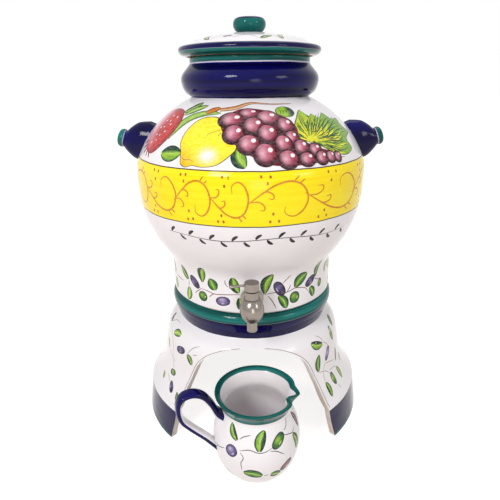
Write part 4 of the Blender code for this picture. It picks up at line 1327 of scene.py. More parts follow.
@dataclass(frozen=True)
class Garland:
    """The fruit on the shoulder: a cut pomegranate, a lemon, grapes and their leaves.

    Places are azimuth in degrees and height in millimetres. A grape adds its half width and half
    height.
    """

    slice_level: int = 6
    lemon_level: int = 8
    grape_level: int = 11
    grape_swell: float = 1.1
    grape_lean: float = 0.12
    grape_rim: float = 1.5
    glint_shares: tuple[float, float, float] = (0.42, 0.36, 0.21)
    coarse_step: float = 2.6
    fine_step: float = 2.4
    stalk_width: float = 0.75
    pore: tuple[float, float, float] = (0.4, 0.5, 1.2)
    rind_line: float = 0.9
    seed: tuple[float, float, float] = (0.7, 1.5, 1.9)
    crown_width: float = 2.4
    fine_line: float = 0.8
    crown_end_shares: tuple[float, float] = (0.9, 0.2)
    pore_end_shares: tuple[float, float] = (0.8, 0.8)
    seed_end_shares: tuple[float, float] = (0.7, 0.7)
    grapes: tuple[tuple[float, float, float, float], ...] = (
        (-1, 396, 10.5, 7.5), (10, 392, 11.5, 10), (19, 385, 9, 10), (-11, 390, 12.5, 10.5),
        (1.5, 385, 11, 11), (20.5, 374, 7.5, 8), (-8.5, 378, 10.5, 11), (8.5, 378, 10, 11),
        (15.5, 369, 9, 9.5), (-1, 369, 11, 10.5), (6.5, 360, 11, 11.5), (24, 365, 8.5, 8.5),
        (16.5, 355, 10.5, 9.5), (31, 362, 8, 7), (25.5, 354, 9, 7.5), (33.5, 354, 8, 7.5),
        (39, 354, 6.5, 6.5), (43.5, 353, 5.5, 6),
    )
    bunch: tuple[Point, ...] = (
        (-14, 394), (-6, 400), (8, 399), (20, 393), (25, 384), (25, 373), (33, 364), (43, 356),
        (43, 350), (33, 350), (20, 349), (8, 351), (0, 359), (-6, 367), (-13, 377), (-16, 386),
    )
    lemon: tuple[Point, ...] = (
        (-36, 369), (-34, 361), (-33, 354), (-32, 349), (-29, 347), (-26, 349), (-22, 348),
        (-15, 350), (-10, 357), (-6, 366), (-7, 377), (-12, 388), (-21, 393), (-30, 391),
        (-35, 382),
    )
    stalks: tuple[tuple[Point, ...], ...] = (
        ((-23, 373), (-21, 378), (-18, 380), (-15, 382), (-12, 385)),
        ((-17, 375), (-15, 378), (-15, 381)),
        ((-33, 358), (-31, 354), (-27, 354), (-25, 351)),
    )
    pores: tuple[Point, ...] = (
        (-31, 361), (-29, 363), (-28, 359), (-26, 359), (-24, 356), (-29, 357), (-30, 365),
        (-26, 365), (-22, 353), (-31, 352),
    )
    rind: tuple[Point, ...] = (
        (-55, 355), (-50, 363), (-45, 376), (-44, 387), (-48, 396), (-56, 399), (-66, 398),
        (-75, 392), (-78, 381), (-74, 369), (-67, 360), (-61, 355),
    )
    seeds: tuple[Point, ...] = (
        (-61, 365), (-57, 368), (-60, 373), (-56, 373), (-53, 377), (-61, 380), (-57, 381),
        (-52, 384), (-60, 387), (-55, 387), (-51, 391), (-57, 392),
    )
    crown: tuple[tuple[Point, Point], ...] = (
        ((-60, 358), (-57, 350)), ((-62, 359), (-61, 350)), ((-64, 360), (-66, 352)),
        ((-66, 362), (-70, 356)), ((-67, 366), (-72, 361)),
    )
    leaves: tuple[Leaf, ...] = (
        Leaf((-49, 395), (-39, 406), 9, LeafTone.LEFT_DARK, -0.08),
        Leaf((-46, 393), (-31, 403), 8, LeafTone.FRESH, 0.06, 2),
        Leaf((-33, 360), (-47, 357), 15, LeafTone.RIGHT_DARK, 0.02, 0, 1.0),
        Leaf((-6, 367), (-2, 348), 13, LeafTone.RIGHT_DARK, -0.12, 0, 1.0),
    )
    long_leaf: tuple[Point, ...] = (
        (-46, 370), (-44, 380), (-41, 388), (-36, 393), (-28, 396), (-18, 396),
    )
    twig: tuple[Point, ...] = ((-21, 399), (-10, 401), (0, 405), (16, 404), (33, 404))
    dry_leaf: tuple[Point, ...] = ((-30, 395), (-26, 398), (-20, 401))
    twig_widths: tuple[float, ...] = (5.5, 7, 6, 3.5, 2.5, 2, 1)
    long_leaf_widths: tuple[float, ...] = (0.6, 8, 11, 11, 9.5, 7, 1.2)
    dry_leaf_widths: tuple[float, ...] = (1, 7, 9, 8, 3)
    round_leaf: tuple[float, float, float, float] = (22.5, 397, 10.5, 8.5)
    round_leaf_sides: int = 26
    rib_places: tuple[float, ...] = (-6, -3, 0)
    rib_bow: tuple[Point, ...] = ((-1, -4.5), (1.5, 0), (-1, 4.5))
    rib_widths: tuple[float, ...] = (0.3, 1.1, 0.3)
    vine: tuple[Point, ...] = (
        (34, 398), (37, 391), (41, 394), (45, 390), (53, 394), (57, 388), (66, 387), (64, 381),
        (68, 373), (59, 367), (60, 358), (52, 353), (45, 355), (38, 361), (34, 366), (29, 369),
        (24, 372), (23, 381), (27, 390),
    )
    vine_stalk: Point = (30, 370)

    def paint(self, fruit: Painting, foliage: Painting, turn: float) -> None:
        """Lays the garland.

        Args:
            fruit: Takes the fruits.
            foliage: Takes the leaves and twigs.
            turn: How far round the pot it lies, in degrees.
        """
        fruit.turn = foliage.turn = turn
        self.paint_leaves(foliage)
        self.paint_round_leaf(foliage)
        self.paint_vine_leaf(foliage)
        self.paint_slice(fruit)
        self.paint_lemon(fruit)
        chart = fruit.chart(self.bunch)
        fruit.disc(chart, smooth_loop(chart.flat(self.bunch), self.coarse_step),
                   lambda u, v, share: blend(Pigment.MAROON.colour, Pigment.CRIMSON.colour,
                                             0.35 + 0.4 * np.sin(u / 4) * np.cos(v / 3)),
                   self.grape_level - 1)
        for order, grape in enumerate(self.grapes):
            self.paint_grape(fruit, grape, self.grape_level + 2 * order)
        fruit.turn = foliage.turn = 0.0

    def paint_grape(self, fruit: Painting, grape: Sequence[float], level: int) -> None:
        """Lays one grape with its sheen and glint.

        Args:
            fruit: Takes the fruits.
            grape: Its azimuth, height, half width and half height.
            level: What lies over it has a higher level.
        """
        azimuth, height = grape[:2]
        wide, tall = self.grape_swell * grape[2], self.grape_swell * grape[3]
        chart = fruit.chart([(azimuth, height)])
        turns = np.linspace(0, math.tau, max(16, int(1.6 * (wide + tall))), endpoint=False)
        oval = np.stack([wide * np.cos(turns), tall * np.sin(turns)], -1)
        lean = fruit.random.uniform(-self.grape_lean, self.grape_lean)

        def colour_at(u: np.ndarray, v: np.ndarray, share: np.ndarray) -> np.ndarray:
            """Pink and crimson flesh with a pale sheen, dark towards the lower left.

            Args:
                u: Millimetres to the right of the chart's middle.
                v: Millimetres up from it.
                share: The shares of the way out to the edge.

            Returns:
                The colours.
            """
            across, up = u / wide, v / tall
            body = blend(Pigment.PINK.colour, Pigment.MAUVE.colour, 0.35 - 0.5 * up + 0.3 * across)
            body = blend(body, Pigment.CRIMSON.colour, 1.3 * (across + lean) * share + 0.2)
            sheen = np.exp(-((across + 0.3) ** 2 / 0.1 + (up - 0.1) ** 2 / 0.2))
            body = blend(body, Pigment.BLUSH.colour, 0.8 * sheen)
            shadow = (share - 0.3) * 2.2 * (0.8 - 0.62 * up - 0.3 * across + lean)
            return blend(body, Pigment.MAROON.colour, shadow)

        fruit.disc(chart, oval, colour_at, level, Pigment.MAROON, self.grape_rim)
        aside, above, size = self.glint_shares
        glint = Chart(fruit.wall, azimuth + math.degrees(aside * wide / chart.radius),
                      chart.length + above * tall)
        fruit.disc(glint, size * oval, lambda u, v, share: blend(
            Pigment.TIN_WHITE.colour, Pigment.BLUSH.colour, (share - 0.6) * 0.9), level + 1)

    def paint_lemon(self, fruit: Painting) -> None:
        """Lays the lemon, its pores and the curl of its stalk.

        Args:
            fruit: Takes the fruits.
        """
        level = self.lemon_level
        chart = fruit.chart(self.lemon)
        edge = smooth_loop(chart.flat(self.lemon), self.fine_step)

        def colour_at(u: np.ndarray, v: np.ndarray, share: np.ndarray) -> np.ndarray:
            """Bright above, warmer towards the nipple, with one white light.

            Args:
                u: Millimetres to the right of the chart's middle.
                v: Millimetres up from it.
                share: The shares of the way out to the edge.

            Returns:
                The colours.
            """
            body = blend(Pigment.SUN.colour, Pigment.LEMON.colour, 0.4 - v / 40)
            warm = np.exp(-((u + 17) ** 2 + (v + 14) ** 2) / 150)
            body = blend(body, Pigment.AMBER.colour, 0.8 * warm + 0.5 * (share - 0.72))
            light = np.exp(-((u - 8) ** 2 / 60 + (v + 8) ** 2 / 44))
            return blend(body, Pigment.TIN_WHITE.colour, 1.15 * light)

        fruit.disc(chart, edge, colour_at, level, Pigment.INK, self.fine_line)
        for line in self.stalks:
            fruit.stroke(line, self.stalk_width, Pigment.BARK, level + 1)
        across, up, width = self.pore
        for azimuth, height in self.pores:
            ends = ((azimuth - across, height - up), (azimuth + across, height + up))
            fruit.stroke(ends, width, Pigment.RUST, level + 2, self.pore_end_shares)

    def paint_slice(self, fruit: Painting) -> None:
        """Lays the cut pomegranate with its rind, seeds and crown.

        Args:
            fruit: Takes the fruits.
        """
        level = self.slice_level
        chart = fruit.chart(self.rind)
        edge = smooth_loop(chart.flat(self.rind), self.coarse_step)

        def colour_at(u: np.ndarray, v: np.ndarray, share: np.ndarray) -> np.ndarray:
            """Red rind to the right, flesh in the middle, and paler skin to the left.

            Args:
                u: Millimetres to the right of the chart's middle.
                v: Millimetres up from it.
                share: The shares of the way out to the edge.

            Returns:
                The colours.
            """
            body = blend(Pigment.VERMILION.colour, Pigment.PINK.colour, (3 - u) / 16)
            body = blend(body, Pigment.BLUSH.colour, (-9 - u) / 12)
            body = blend(body, Pigment.TIN_WHITE.colour, (-24 - u) / 12)
            rind = np.clip((share - 0.74) * 5, 0, 1) * np.clip((u + 14) / 12, 0, 1)
            body = blend(body, Pigment.CRIMSON.colour, rind)
            flesh = np.exp(-((u - 3) ** 2 / 60 + v ** 2 / 190))
            return blend(body, Pigment.CRIMSON.colour, 0.5 * flesh)

        fruit.disc(chart, edge, colour_at, level)
        fruit.stroke(self.rind[:5], self.rind_line, Pigment.MAROON, level + 1)
        across, up, width = self.seed
        for azimuth, height in self.seeds:
            ends = ((azimuth - across, height - up), (azimuth + across, height + up))
            fruit.stroke(ends, width, Pigment.TIN_WHITE, level + 2, self.seed_end_shares)
        for line in self.crown:
            for level_over, width, pigment in ((2, self.crown_width, Pigment.CRIMSON),
                                               (3, self.fine_line, Pigment.MAROON)):
                fruit.stroke(line, width, pigment, level + level_over, self.crown_end_shares)

    def paint_leaves(self, foliage: Painting) -> None:
        """Lays the leaves round the fruit, the dry leaf and the twig.

        Args:
            foliage: Takes the leaves and twigs.
        """
        for leaf in self.leaves:
            leaf.paint(foliage)
        for line, widths, tints, level, rim in (
            (self.twig, self.twig_widths,
             (Pigment.RUST, Pigment.OCHRE, Pigment.CREAM, Pigment.OCHRE), 0, Pigment.BARK),
            (self.long_leaf, self.long_leaf_widths, LeafTone.FRESH.value, 3, Pigment.BOTTLE),
            (self.dry_leaf, self.dry_leaf_widths,
             (Pigment.RUST, Pigment.OCHRE, Pigment.RUST), 5, Pigment.MAROON),
        ):
            chart = foliage.chart(line)
            foliage.ribbon(chart, chart.flat(line), widths, tints, level, rim)
        foliage.stroke(self.long_leaf[1:5], self.fine_line, Pigment.LEAF, 4)

    def paint_round_leaf(self, foliage: Painting) -> None:
        """Lays the round leaf over the grapes, lime on one side and dark on the other.

        Args:
            foliage: Takes the leaves and twigs.
        """
        azimuth, height, wide, tall = self.round_leaf
        chart = foliage.chart([(azimuth, height)])
        turns = np.linspace(0, math.tau, self.round_leaf_sides, endpoint=False)
        oval = np.stack([wide * np.cos(turns), tall * np.sin(turns)], -1)
        foliage.disc(chart, oval, lambda u, v, share: blend(
            Pigment.LIME.colour, Pigment.PINE.colour, (u - 1.5) / 3), 2, Pigment.PINE,
                    self.fine_line)
        for place in self.rib_places:
            bow = [(place + across, up) for across, up in self.rib_bow]
            foliage.ribbon(chart, bow, self.rib_widths, [Pigment.BOTTLE], 3)

    def paint_vine_leaf(self, foliage: Painting) -> None:
        """Lays the vine leaf with its brushed lobes and veins.

        Args:
            foliage: Takes the leaves and twigs.
        """
        chart = foliage.chart(self.vine)
        tips = chart.flat(self.vine)
        stalk = chart.flat([self.vine_stalk])[0]

        def colour_at(u: np.ndarray, v: np.ndarray, share: np.ndarray) -> np.ndarray:
            """Yellow green that turns ochre near the stalk and deeper towards the tips.

            Args:
                u: Millimetres to the right of the chart's middle.
                v: Millimetres up from it.
                share: The shares of the way out to the edge.

            Returns:
                The colours.
            """
            reach = np.hypot(u - stalk[0], v - stalk[1]) / 40
            body = blend(Pigment.SUN.colour, Pigment.LIME.colour, 0.3 + 0.6 * reach)
            return blend(body, Pigment.LEAF.colour, 0.6 * (reach - 0.75))

        foliage.disc(chart, smooth_loop(tips, self.fine_step), colour_at, 0,
                     Pigment.BOTTLE, 0.7)
        brushes = ((0.88, 0.03, 1.3, Pigment.PINE), (0.8, 0.13, 2.2, Pigment.LEAF),
                   (0.74, -0.13, 1.8, Pigment.SUN), (0.9, 0.08, 1.4, Pigment.BOTTLE),
                   (0.7, -0.2, 1.3, Pigment.PINE))
        for tip in tips:
            reach = tip - stalk
            for level, (share, swing, width, pigment) in enumerate(brushes, 1):
                aside = np.array([-reach[1], reach[0]]) * swing
                first = stalk + reach * foliage.random.uniform(0.12, 0.4) + aside * 0.3
                last = stalk + reach * share + aside
                bow = (first + last) / 2 + aside * 0.4
                foliage.ribbon(chart, (first, bow, last), [0.4, width, 0.3], [pigment], level)


@dataclass(frozen=True)
class Scroll:
    """The curling line round the yellow band, in waves that turn up and down by turns.

    A wave's places are shares of its span and rises above or below the middle.
    """

    middle: float = 318.0
    starts: tuple[float, ...] = (-56, -35, -18, -2, 23, 53)
    back_waves: int = 11
    sway: float = 0.35
    width: float = 2.0
    curl_width: float = 1.6
    dot_width: float = 3.2
    dot_half: float = 0.6
    dot_end_shares: tuple[float, float] = (0.8, 0.8)
    stem: tuple[Point, ...] = (
        (0, -5), (0.3, 8), (0.5, 15), (0.75, 17.5), (0.95, 13), (1.05, 3), (1.05, -5),
        (0.95, -14), (0.8, -18), (0.65, -14), (0.65, -6),
    )
    curls: tuple[tuple[Point, ...], ...] = (
        ((0.25, 6.5), (0.35, 8), (0.45, 5), (0.45, 1), (0.35, 2)),
        ((0.05, -2.5), (0.2, -2), (0.3, -6), (0.3, -10), (0.2, -10.5)),
    )
    ticks: tuple[tuple[Point, ...], ...] = (((0.8, 17.5), (0.9, 22.5)), ((0.9, 15), (1, 19)))
    dots: tuple[Point, ...] = (
        (0.25, 22.5), (0.4, 22.5), (0.35, 16), (0.45, -14), (0.4, -22.5), (0.55, -22),
    )

    def waves(self) -> list[tuple[float, float, int]]:
        """Each wave's start, span and sign.

        Returns:
            A row for each wave, in order round the pot.
        """
        starts = list(self.starts)
        last = starts[-1]
        step = (starts[0] + 360 - last) / self.back_waves
        starts.extend([last + step * k for k in range(1, self.back_waves + 1)])
        return [(start, end - start, -1 if k % 2 == 0 else 1)
                for k, (start, end) in enumerate(zip(starts, starts[1:]))]

    def paint(self, painting: Painting) -> None:
        """Lays the scroll all round.

        Args:
            painting: Takes the marks.
        """
        for start, span, sign in self.waves():
            def place(share: float, rise: float) -> Point:
                """A point of the wave as azimuth and height."""
                sway = painting.random.uniform(-self.sway, self.sway)
                return (start + span * share, self.middle + sign * rise + sway)

            painting.stroke([place(*p) for p in self.stem], self.width, Pigment.OCHRE, 1)
            for line in (*self.curls, *self.ticks):
                painting.stroke([place(*p) for p in line], self.curl_width, Pigment.OCHRE)
            for share, rise in self.dots:
                azimuth, height = place(share, rise)
                ends = ((azimuth - self.dot_half, height), (azimuth + self.dot_half, height))
                painting.stroke(ends, self.dot_width, Pigment.RUST, 2, self.dot_end_shares)


FOOT_LEFT = Sprig(
    leaves=(
        Leaf((-47, 205), (-54, 222), 8),
        Leaf((-34, 208), (-31, 230), 9.5, LeafTone.LEFT_DARK),
        Leaf((-47, 197), (-49, 178), 8.5, LeafTone.FRESH),
        Leaf((-28, 216), (-24, 201), 11.5, LeafTone.DEEP, 0.0),
        Leaf((-8, 201), (-12, 222), 10, LeafTone.LEFT_DARK),
        Leaf((-8, 197), (-8, 180), 9),
    ),
    olives=(
        Olive((-45, 212), (-37, 199), 11),
        Olive((-34, 184), (-34, 197), 13.5, FruitTone.GREEN),
        Olive((-24, 188), (-14, 191), 12.5, FruitTone.PURPLE),
    ),
    twigs=(
        ((-37, 200), (-30, 199), (-25, 197), (-19, 198), (-8, 200), (-6.5, 200)),
        ((-29, 191), (-27, 195), (-25, 197)),
        ((-17, 217), (-17, 212), (-15, 208)),
        ((-41, 191), (-38, 196), (-35, 199)),
        ((-47, 205), (-47, 201), (-47, 197)),
    ),
)
FOOT_RIGHT = Sprig(
    leaves=(
        Leaf((8, 200), (13, 226), 10.5, LeafTone.LEFT_DARK),
        Leaf((17, 197), (23, 178), 9.5, LeafTone.DEEP),
        Leaf((29, 202), (39, 218), 12, LeafTone.DEEP),
        Leaf((48, 207), (51, 229), 7.5, LeafTone.DEEP),
        Leaf((42, 198), (46, 182), 8.5, LeafTone.DEEP),
        Leaf((61, 205), (64, 224), 6, LeafTone.FRESH),
    ),
    olives=(
        Olive((15, 214), (21, 196), 13),
        Olive((29, 183), (29, 198), 14.5, FruitTone.GREEN),
        Olive((38, 200), (47, 210), 11),
        Olive((53, 191), (54, 202), 9, FruitTone.GREEN),
    ),
    twigs=(
        ((6.5, 200), (8, 200), (14, 201), (18, 200), (23, 199), (29, 202), (33, 201),
         (38, 198), (42, 189)),
        ((10, 198), (13, 191), (16, 180)),
        ((20, 211), (23, 216), (26, 221)),
        ((23, 199), (25, 204), (26, 208)),
        ((47, 206), (50, 203), (53, 202)),
    ),
)
FOOT_JOIN = Sprig(leaves=(), olives=(), twigs=(((-6.5, 200), (2, 200), (6.5, 200)),))
STAND_LEFT = Sprig(
    leaves=(
        Leaf((-73, 127), (-78, 136), 5, LeafTone.DUSKY),
        Leaf((-63, 122), (-53, 127), 8.5, LeafTone.FRESH),
        Leaf((-72, 108), (-66, 97), 4, LeafTone.FRESH),
        Leaf((-44, 111), (-39, 99), 7),
        Leaf((-67, 64), (-64, 56), 4.5, LeafTone.FRESH),
        Leaf((-47, 59), (-46, 50), 4, LeafTone.DEEP),
    ),
    olives=(
        Olive((-55, 108), (-46, 113), 10.5),
        Olive((-59, 73), (-53, 75), 9, FruitTone.GREEN),
        Olive((-55, 64), (-51, 53), 8.5),
    ),
    twigs=(
        ((-74, 127), (-68, 134), (-62, 135)),
        ((-70, 126), (-65, 120), (-62, 112), (-59, 103), (-58, 92)),
        ((-44, 111), (-39, 122), (-34, 127)),
        ((-39, 113), (-35, 116)),
        ((-66, 97), (-61, 93), (-55, 89)),
        ((-58, 92), (-57, 82), (-56, 78)),
        ((-61, 67), (-56, 61)),
    ),
    twig_width=0.9,
    twig_pigment=Pigment.GREY,
)
STAND_RIGHT = Sprig(
    leaves=(
        Leaf((68, 124), (74, 135), 6, LeafTone.DEEP),
        Leaf((64, 109), (63, 130), 6.5),
        Leaf((50, 118), (39, 126), 9.5),
        Leaf((43, 85), (45, 108), 8.5, LeafTone.DEEP),
        Leaf((66, 97), (64, 78), 5, LeafTone.DUSKY),
        Leaf((73, 81), (71, 69), 4.5, LeafTone.FRESH),
        Leaf((62, 73), (64, 55), 6, LeafTone.FRESH),
        Leaf((47, 69), (48, 50), 7),
    ),
    olives=(
        Olive((56, 110), (51, 93), 8.5, FruitTone.PURPLE),
        Olive((54, 74), (56, 57), 9, FruitTone.GREEN),
    ),
    twigs=(
        ((45, 131), (49, 126), (50, 120)),
        ((43, 85), (50, 80), (53, 74)),
        ((53, 77), (59, 76), (62, 73)),
        ((47, 82), (47, 69)),
        ((47, 83), (50, 90), (56, 87), (62, 83)),
        ((57, 56), (58, 49)),
        ((50, 120), (54, 114), (56, 109)),
    ),
    twig_width=0.9,
    twig_pigment=Pigment.GREY,
)
JUG_SPRIG = Sprig(
    leaves=(
        Leaf((-26, 71), (-41, 87), 7),
        Leaf((3, 62), (12, 85), 10),
        Leaf((-19, 34), (8, 29), 11, LeafTone.DEEP),
        Leaf((16, 30), (33, 24), 9, LeafTone.DEEP),
        Leaf((56, 69), (62, 44), 7.5, LeafTone.LEFT_DARK),
        Leaf((70, 86), (76, 64), 6.5, LeafTone.DUSKY),
    ),
    olives=(
        Olive((-40, 53), (-28, 64), 15, FruitTone.PURPLE),
        Olive((21, 64), (39, 77), 12.5, FruitTone.GREEN),
        Olive((32, 30), (50, 40), 11.5, FruitTone.BROWN),
    ),
    twigs=(
        ((-68, 50), (-58, 52), (-44, 57)),
        ((-23, 62), (-10, 65), (3, 62), (12, 63), (21, 66)),
        ((-22, 61), (-17, 55), (-20, 48), (-19, 37)),
        ((38, 74), (48, 71), (56, 69), (66, 72)),
        ((41, 77), (48, 80), (53, 88)),
        ((16, 63), (26, 60), (37, 52)),
        ((8, 30), (12, 30), (16, 30)),
        ((-25, 73), (-19, 77), (-8, 80)),
    ),
    twig_width=1.0,
    twig_pigment=Pigment.INK,
)
JUG_LOW_SPRIG = Sprig(
    leaves=(
        Leaf((-81, 45), (-78, 28), 5, LeafTone.FRESH),
        Leaf((-58, 24), (-36, 16), 5.5, LeafTone.FRESH),
    ),
    olives=(),
    twigs=(((-81, 45), (-74, 49), (-68, 50)), ((-78, 28), (-68, 24), (-58, 24))),
    twig_width=1.0,
    twig_pigment=Pigment.INK,
)
LID_SPRIG = Sprig(
    leaves=(
        Leaf((-38, 466), (-56, 473), 6, LeafTone.DEEP),
        Leaf((9, 466), (24, 470), 5.5, LeafTone.LEFT_DARK),
        Leaf((30, 466), (38, 472), 5, LeafTone.FRESH),
    ),
    olives=(Olive((-26, 469), (-18, 471), 6),),
    twigs=(
        ((-38, 466), (-30, 470), (-14, 469), (-2, 471), (9, 466)),
        ((24, 470), (30, 466)),
    ),
    twig_width=0.9,
)


@dataclass(frozen=True)
class Tendril:
    """A fine dark spray of narrow leaves in the plain zone under the band."""

    first: float = -42.0
    last: float = 52.0
    height: float = 275.0
    pitch: float = 5.2
    sway: float = 1.6
    ripples: float = 7.0
    stem_width: float = 1.0
    margins: tuple[float, float] = (2, 3)
    leaf: Point = (3.4, 6.8)
    leaf_width: float = 3.0
    leaf_bend: float = 0.12
    leaf_line: float = 0.5

    def height_at(self, azimuth: float) -> float:
        """The stem's height at an azimuth."""
        return self.height + self.sway * math.sin(math.radians(azimuth * self.ripples))

    def paint(self, painting: Painting) -> None:
        """Lays the spray across the front.

        Args:
            painting: Takes the marks.
        """
        places = np.arange(self.first, self.last, self.pitch / 2)
        painting.stroke([(a, self.height_at(a)) for a in places], self.stem_width, Pigment.INK)
        (before, after), (across, up) = self.margins, self.leaf
        stalks = np.arange(self.first + before, self.last - after, self.pitch)
        for number, azimuth in enumerate(stalks):
            start = self.height_at(azimuth)
            side = 1 if number % 2 == 0 else -1
            tip = (azimuth + across, start + side * up)
            Leaf((azimuth, start), tip, self.leaf_width, LeafTone.INKED, self.leaf_bend * side, 0,
                 self.leaf_line).paint(painting)


# Stand, jar and lid


@dataclass
class Stand:
    """The bell under the jar, with a collar and one arch."""

    sides: int = 224
    step: float = 3.0
    soft: float = 1.1
    foot: float = 148.0
    band: Point = (142.9, 42.0)
    waist: Point = (122.2, 80.0)
    shoulder: Point = (113.7, 123.6)
    neck: Point = (98.4, 141.0)
    collar: Point = (105.5, 163.0)
    lip: Point = (100.5, 173.5)
    wall: float = 8.0
    bore: float = 96.5
    bore_edge: float = 1.5
    ledge: tuple[float, float, float] = (82.0, 142.0, 149.7)
    skirt_shares: tuple[Point, ...] = ((0.3, 0.21), (0.58, 0.45), (0.78, 0.67))
    side_shares: tuple[Point, ...] = ((0.5, 0.58),)
    shoulder_shares: tuple[Point, ...] = ((0.17, 0.25), (0.41, 0.52), (0.7, 0.74))
    collar_shares: tuple[Point, ...] = ((0.45, 0.36), (0.85, 0.74))
    roll_shares: tuple[Point, ...] = ((0.12, 0.5), (0.5, 0.85))
    foot_band: float = 41.0
    foot_line: float = 3.5
    arch_top: float = 132.5
    arch_half_angle: float = 45.0
    arch_step_share: float = 0.03
    cutter_start: float = 70.0
    cutter_over: float = 6.0
    line_low: float = 43.0
    line_side: float = 6.0
    line_inset: float = 1.2
    line_width: float = 0.9
    left_turns: tuple[float, ...] = (0.0, 236.0)
    right_turns: tuple[float, ...] = (0.0, 62.0, 170.0)
    near_turns: tuple[float, ...] = (-44.0,)
    arch_shares: tuple[Point, ...] = (
        (1.0, 0.0), (0.92, 0.2), (0.885, 0.36), (0.86, 0.5), (0.76, 0.67), (0.66, 0.8),
        (0.5, 0.905), (0.32, 0.967), (0.14, 0.995), (0.0, 1.0),
    )

    def outside(self) -> tuple[Point, ...]:
        """The bell's white side, from the blue foot up to the neck.

        Returns:
            Radius and height pairs, in millimetres.
        """
        return (
            self.band, *by_shares(self.band, self.waist, self.skirt_shares), self.waist,
            *by_shares(self.waist, self.shoulder, self.side_shares), self.shoulder,
            *by_shares(self.shoulder, self.neck, self.shoulder_shares), self.neck,
        )

    def ring(self) -> tuple[Point, ...]:
        """The collar, from the neck over its widest line to its lip.

        Returns:
            Radius and height pairs, in millimetres.
        """
        return (
            self.neck, *by_shares(self.neck, self.collar, self.collar_shares), self.collar,
            *by_shares(self.collar, self.lip, self.roll_shares), self.lip,
        )

    def under(self) -> tuple[Point, ...]:
        """The bell's inside, from under the shoulder down towards the foot.

        Returns:
            Radius and height pairs, in millimetres.
        """
        skirt = by_shares(self.band, self.waist, self.skirt_shares)
        cap = by_shares(self.shoulder, self.neck, self.shoulder_shares)
        line = [(self.foot, 0.0), self.band, skirt[1], self.waist, self.shoulder, cap[0]]
        return tuple(reversed(inset(line, self.wall)[1:]))

    def runs(self) -> list[Run]:
        """The outline from the foot's outer edge over the collar and back down inside.

        Returns:
            The runs, in order.
        """
        edge, under, top = self.ledge
        inner_foot, inside = self.foot - self.wall, self.under()
        mouth, lip = self.bore + self.bore_edge, self.lip[1]
        return [
            Run(((self.foot, 0.0), self.band)),
            Run(self.outside()),
            Run(self.ring()),
            Run((self.lip, (mouth, lip))),
            *corners([(mouth, lip), (self.bore, lip - self.bore_edge), (self.bore, top),
                      (edge, top), (edge, under), inside[0]], 1),
            Run(inside, 1),
            Run((inside[-1], (inner_foot, 0.0)), 1),
            Run(((inner_foot, 0.0), (self.foot, 0.0)), 2),
        ]

    def arch_edge(self) -> list[Point]:
        """Half the arch's edge as azimuth in degrees and height, from the floor to the top.

        Returns:
            The edge's points, every few millimetres.
        """
        shares = smooth_run(self.arch_shares, self.arch_step_share)
        slope = math.tan(math.radians(self.arch_half_angle))
        return [(math.degrees(math.atan(slope * a)), self.arch_top * u) for a, u in shares]

    def wall_outside(self) -> Wall:
        """The bell's white outside."""
        return Wall((0.0, AXIS_Y), [Run(self.outside())], self.step)

    def arch_cutter(self, finish: bpy.types.Material) -> bpy.types.Object:
        """The wedge that opens the arch.

        Args:
            finish: What dresses the cut.

        Returns:
            The closed wedge.
        """
        half = [(math.tan(math.radians(azimuth)), height) for azimuth, height in self.arch_edge()]
        half = [(half[0][0], -self.cutter_over), *half]
        outline = [*half, *[(-across, up) for across, up in reversed(half[:-1])]]
        rings = [
            [Vector((across * depth, -depth + AXIS_Y, up)) * MM for across, up in outline]
            for depth in (self.cutter_start, self.foot + self.cutter_over)
        ]
        return lofted("arch_cutter", rings, [finish])

    def build(self, effects: Effects) -> None:
        """Builds the stand with its painted outside, white inside and bare foot.

        Args:
            effects: The groups that the finishes share.
        """
        outer = BandedGlaze("stand_glaze", Pigment.TIN_WHITE, Pigment.INNER_WHITE, (
            Band(-NO_END, self.foot_band, Pigment.NAVY, Pigment.COBALT),
            Band(-NO_END, self.foot_line, Pigment.TEAL, Pigment.SEA),
            Band(self.neck[1], self.collar[1], Pigment.NAVY, Pigment.COBALT),
            Band(self.collar[1], NO_END, Pigment.TEAL, Pigment.SEA, 0.5),
        ))
        finishes = [
            outer.build(effects),
            BandedGlaze("stand_inside", Pigment.INNER_WHITE, Pigment.CREAM).build(effects),
            BareClay("stand_foot_clay").build(effects),
        ]
        cut = BandedGlaze("arch_edge_glaze", Pigment.INNER_WHITE, Pigment.CREAM, (), 0.8)
        outline = joined_outline(self.runs(), self.step, self.soft)
        stand = turned("stand_body", outline, self.sides, finishes, MAIN_AXIS, closed=True)
        face_outward(stand)
        carve(stand, self.arch_cutter(cut.build(effects)))
        settle(stand, Body.STAND, Slot.WHITE, "stand")

    def decorate(self, marks: bpy.types.Material) -> None:
        """Paints the olive sprigs beside the arch and behind, and the line along the arch.

        Args:
            marks: The finish of the painted marks.
        """
        painting = Painting(self.wall_outside(), seed=11)
        STAND_LEFT.paint(painting, self.left_turns)
        STAND_RIGHT.paint(painting, self.right_turns)
        STAND_LEFT.paint(painting, self.near_turns)
        edge = [(a, h) for a, h in self.arch_edge() if h > self.line_low and a > self.line_side]
        for side in (1, -1):
            painting.stroke([(side * (a + self.line_inset), h) for a, h in edge],
                            self.line_width, Pigment.GREY, 0, (1.0, 1.0))
        painting.piece("stand_sprigs", marks, Body.STAND)


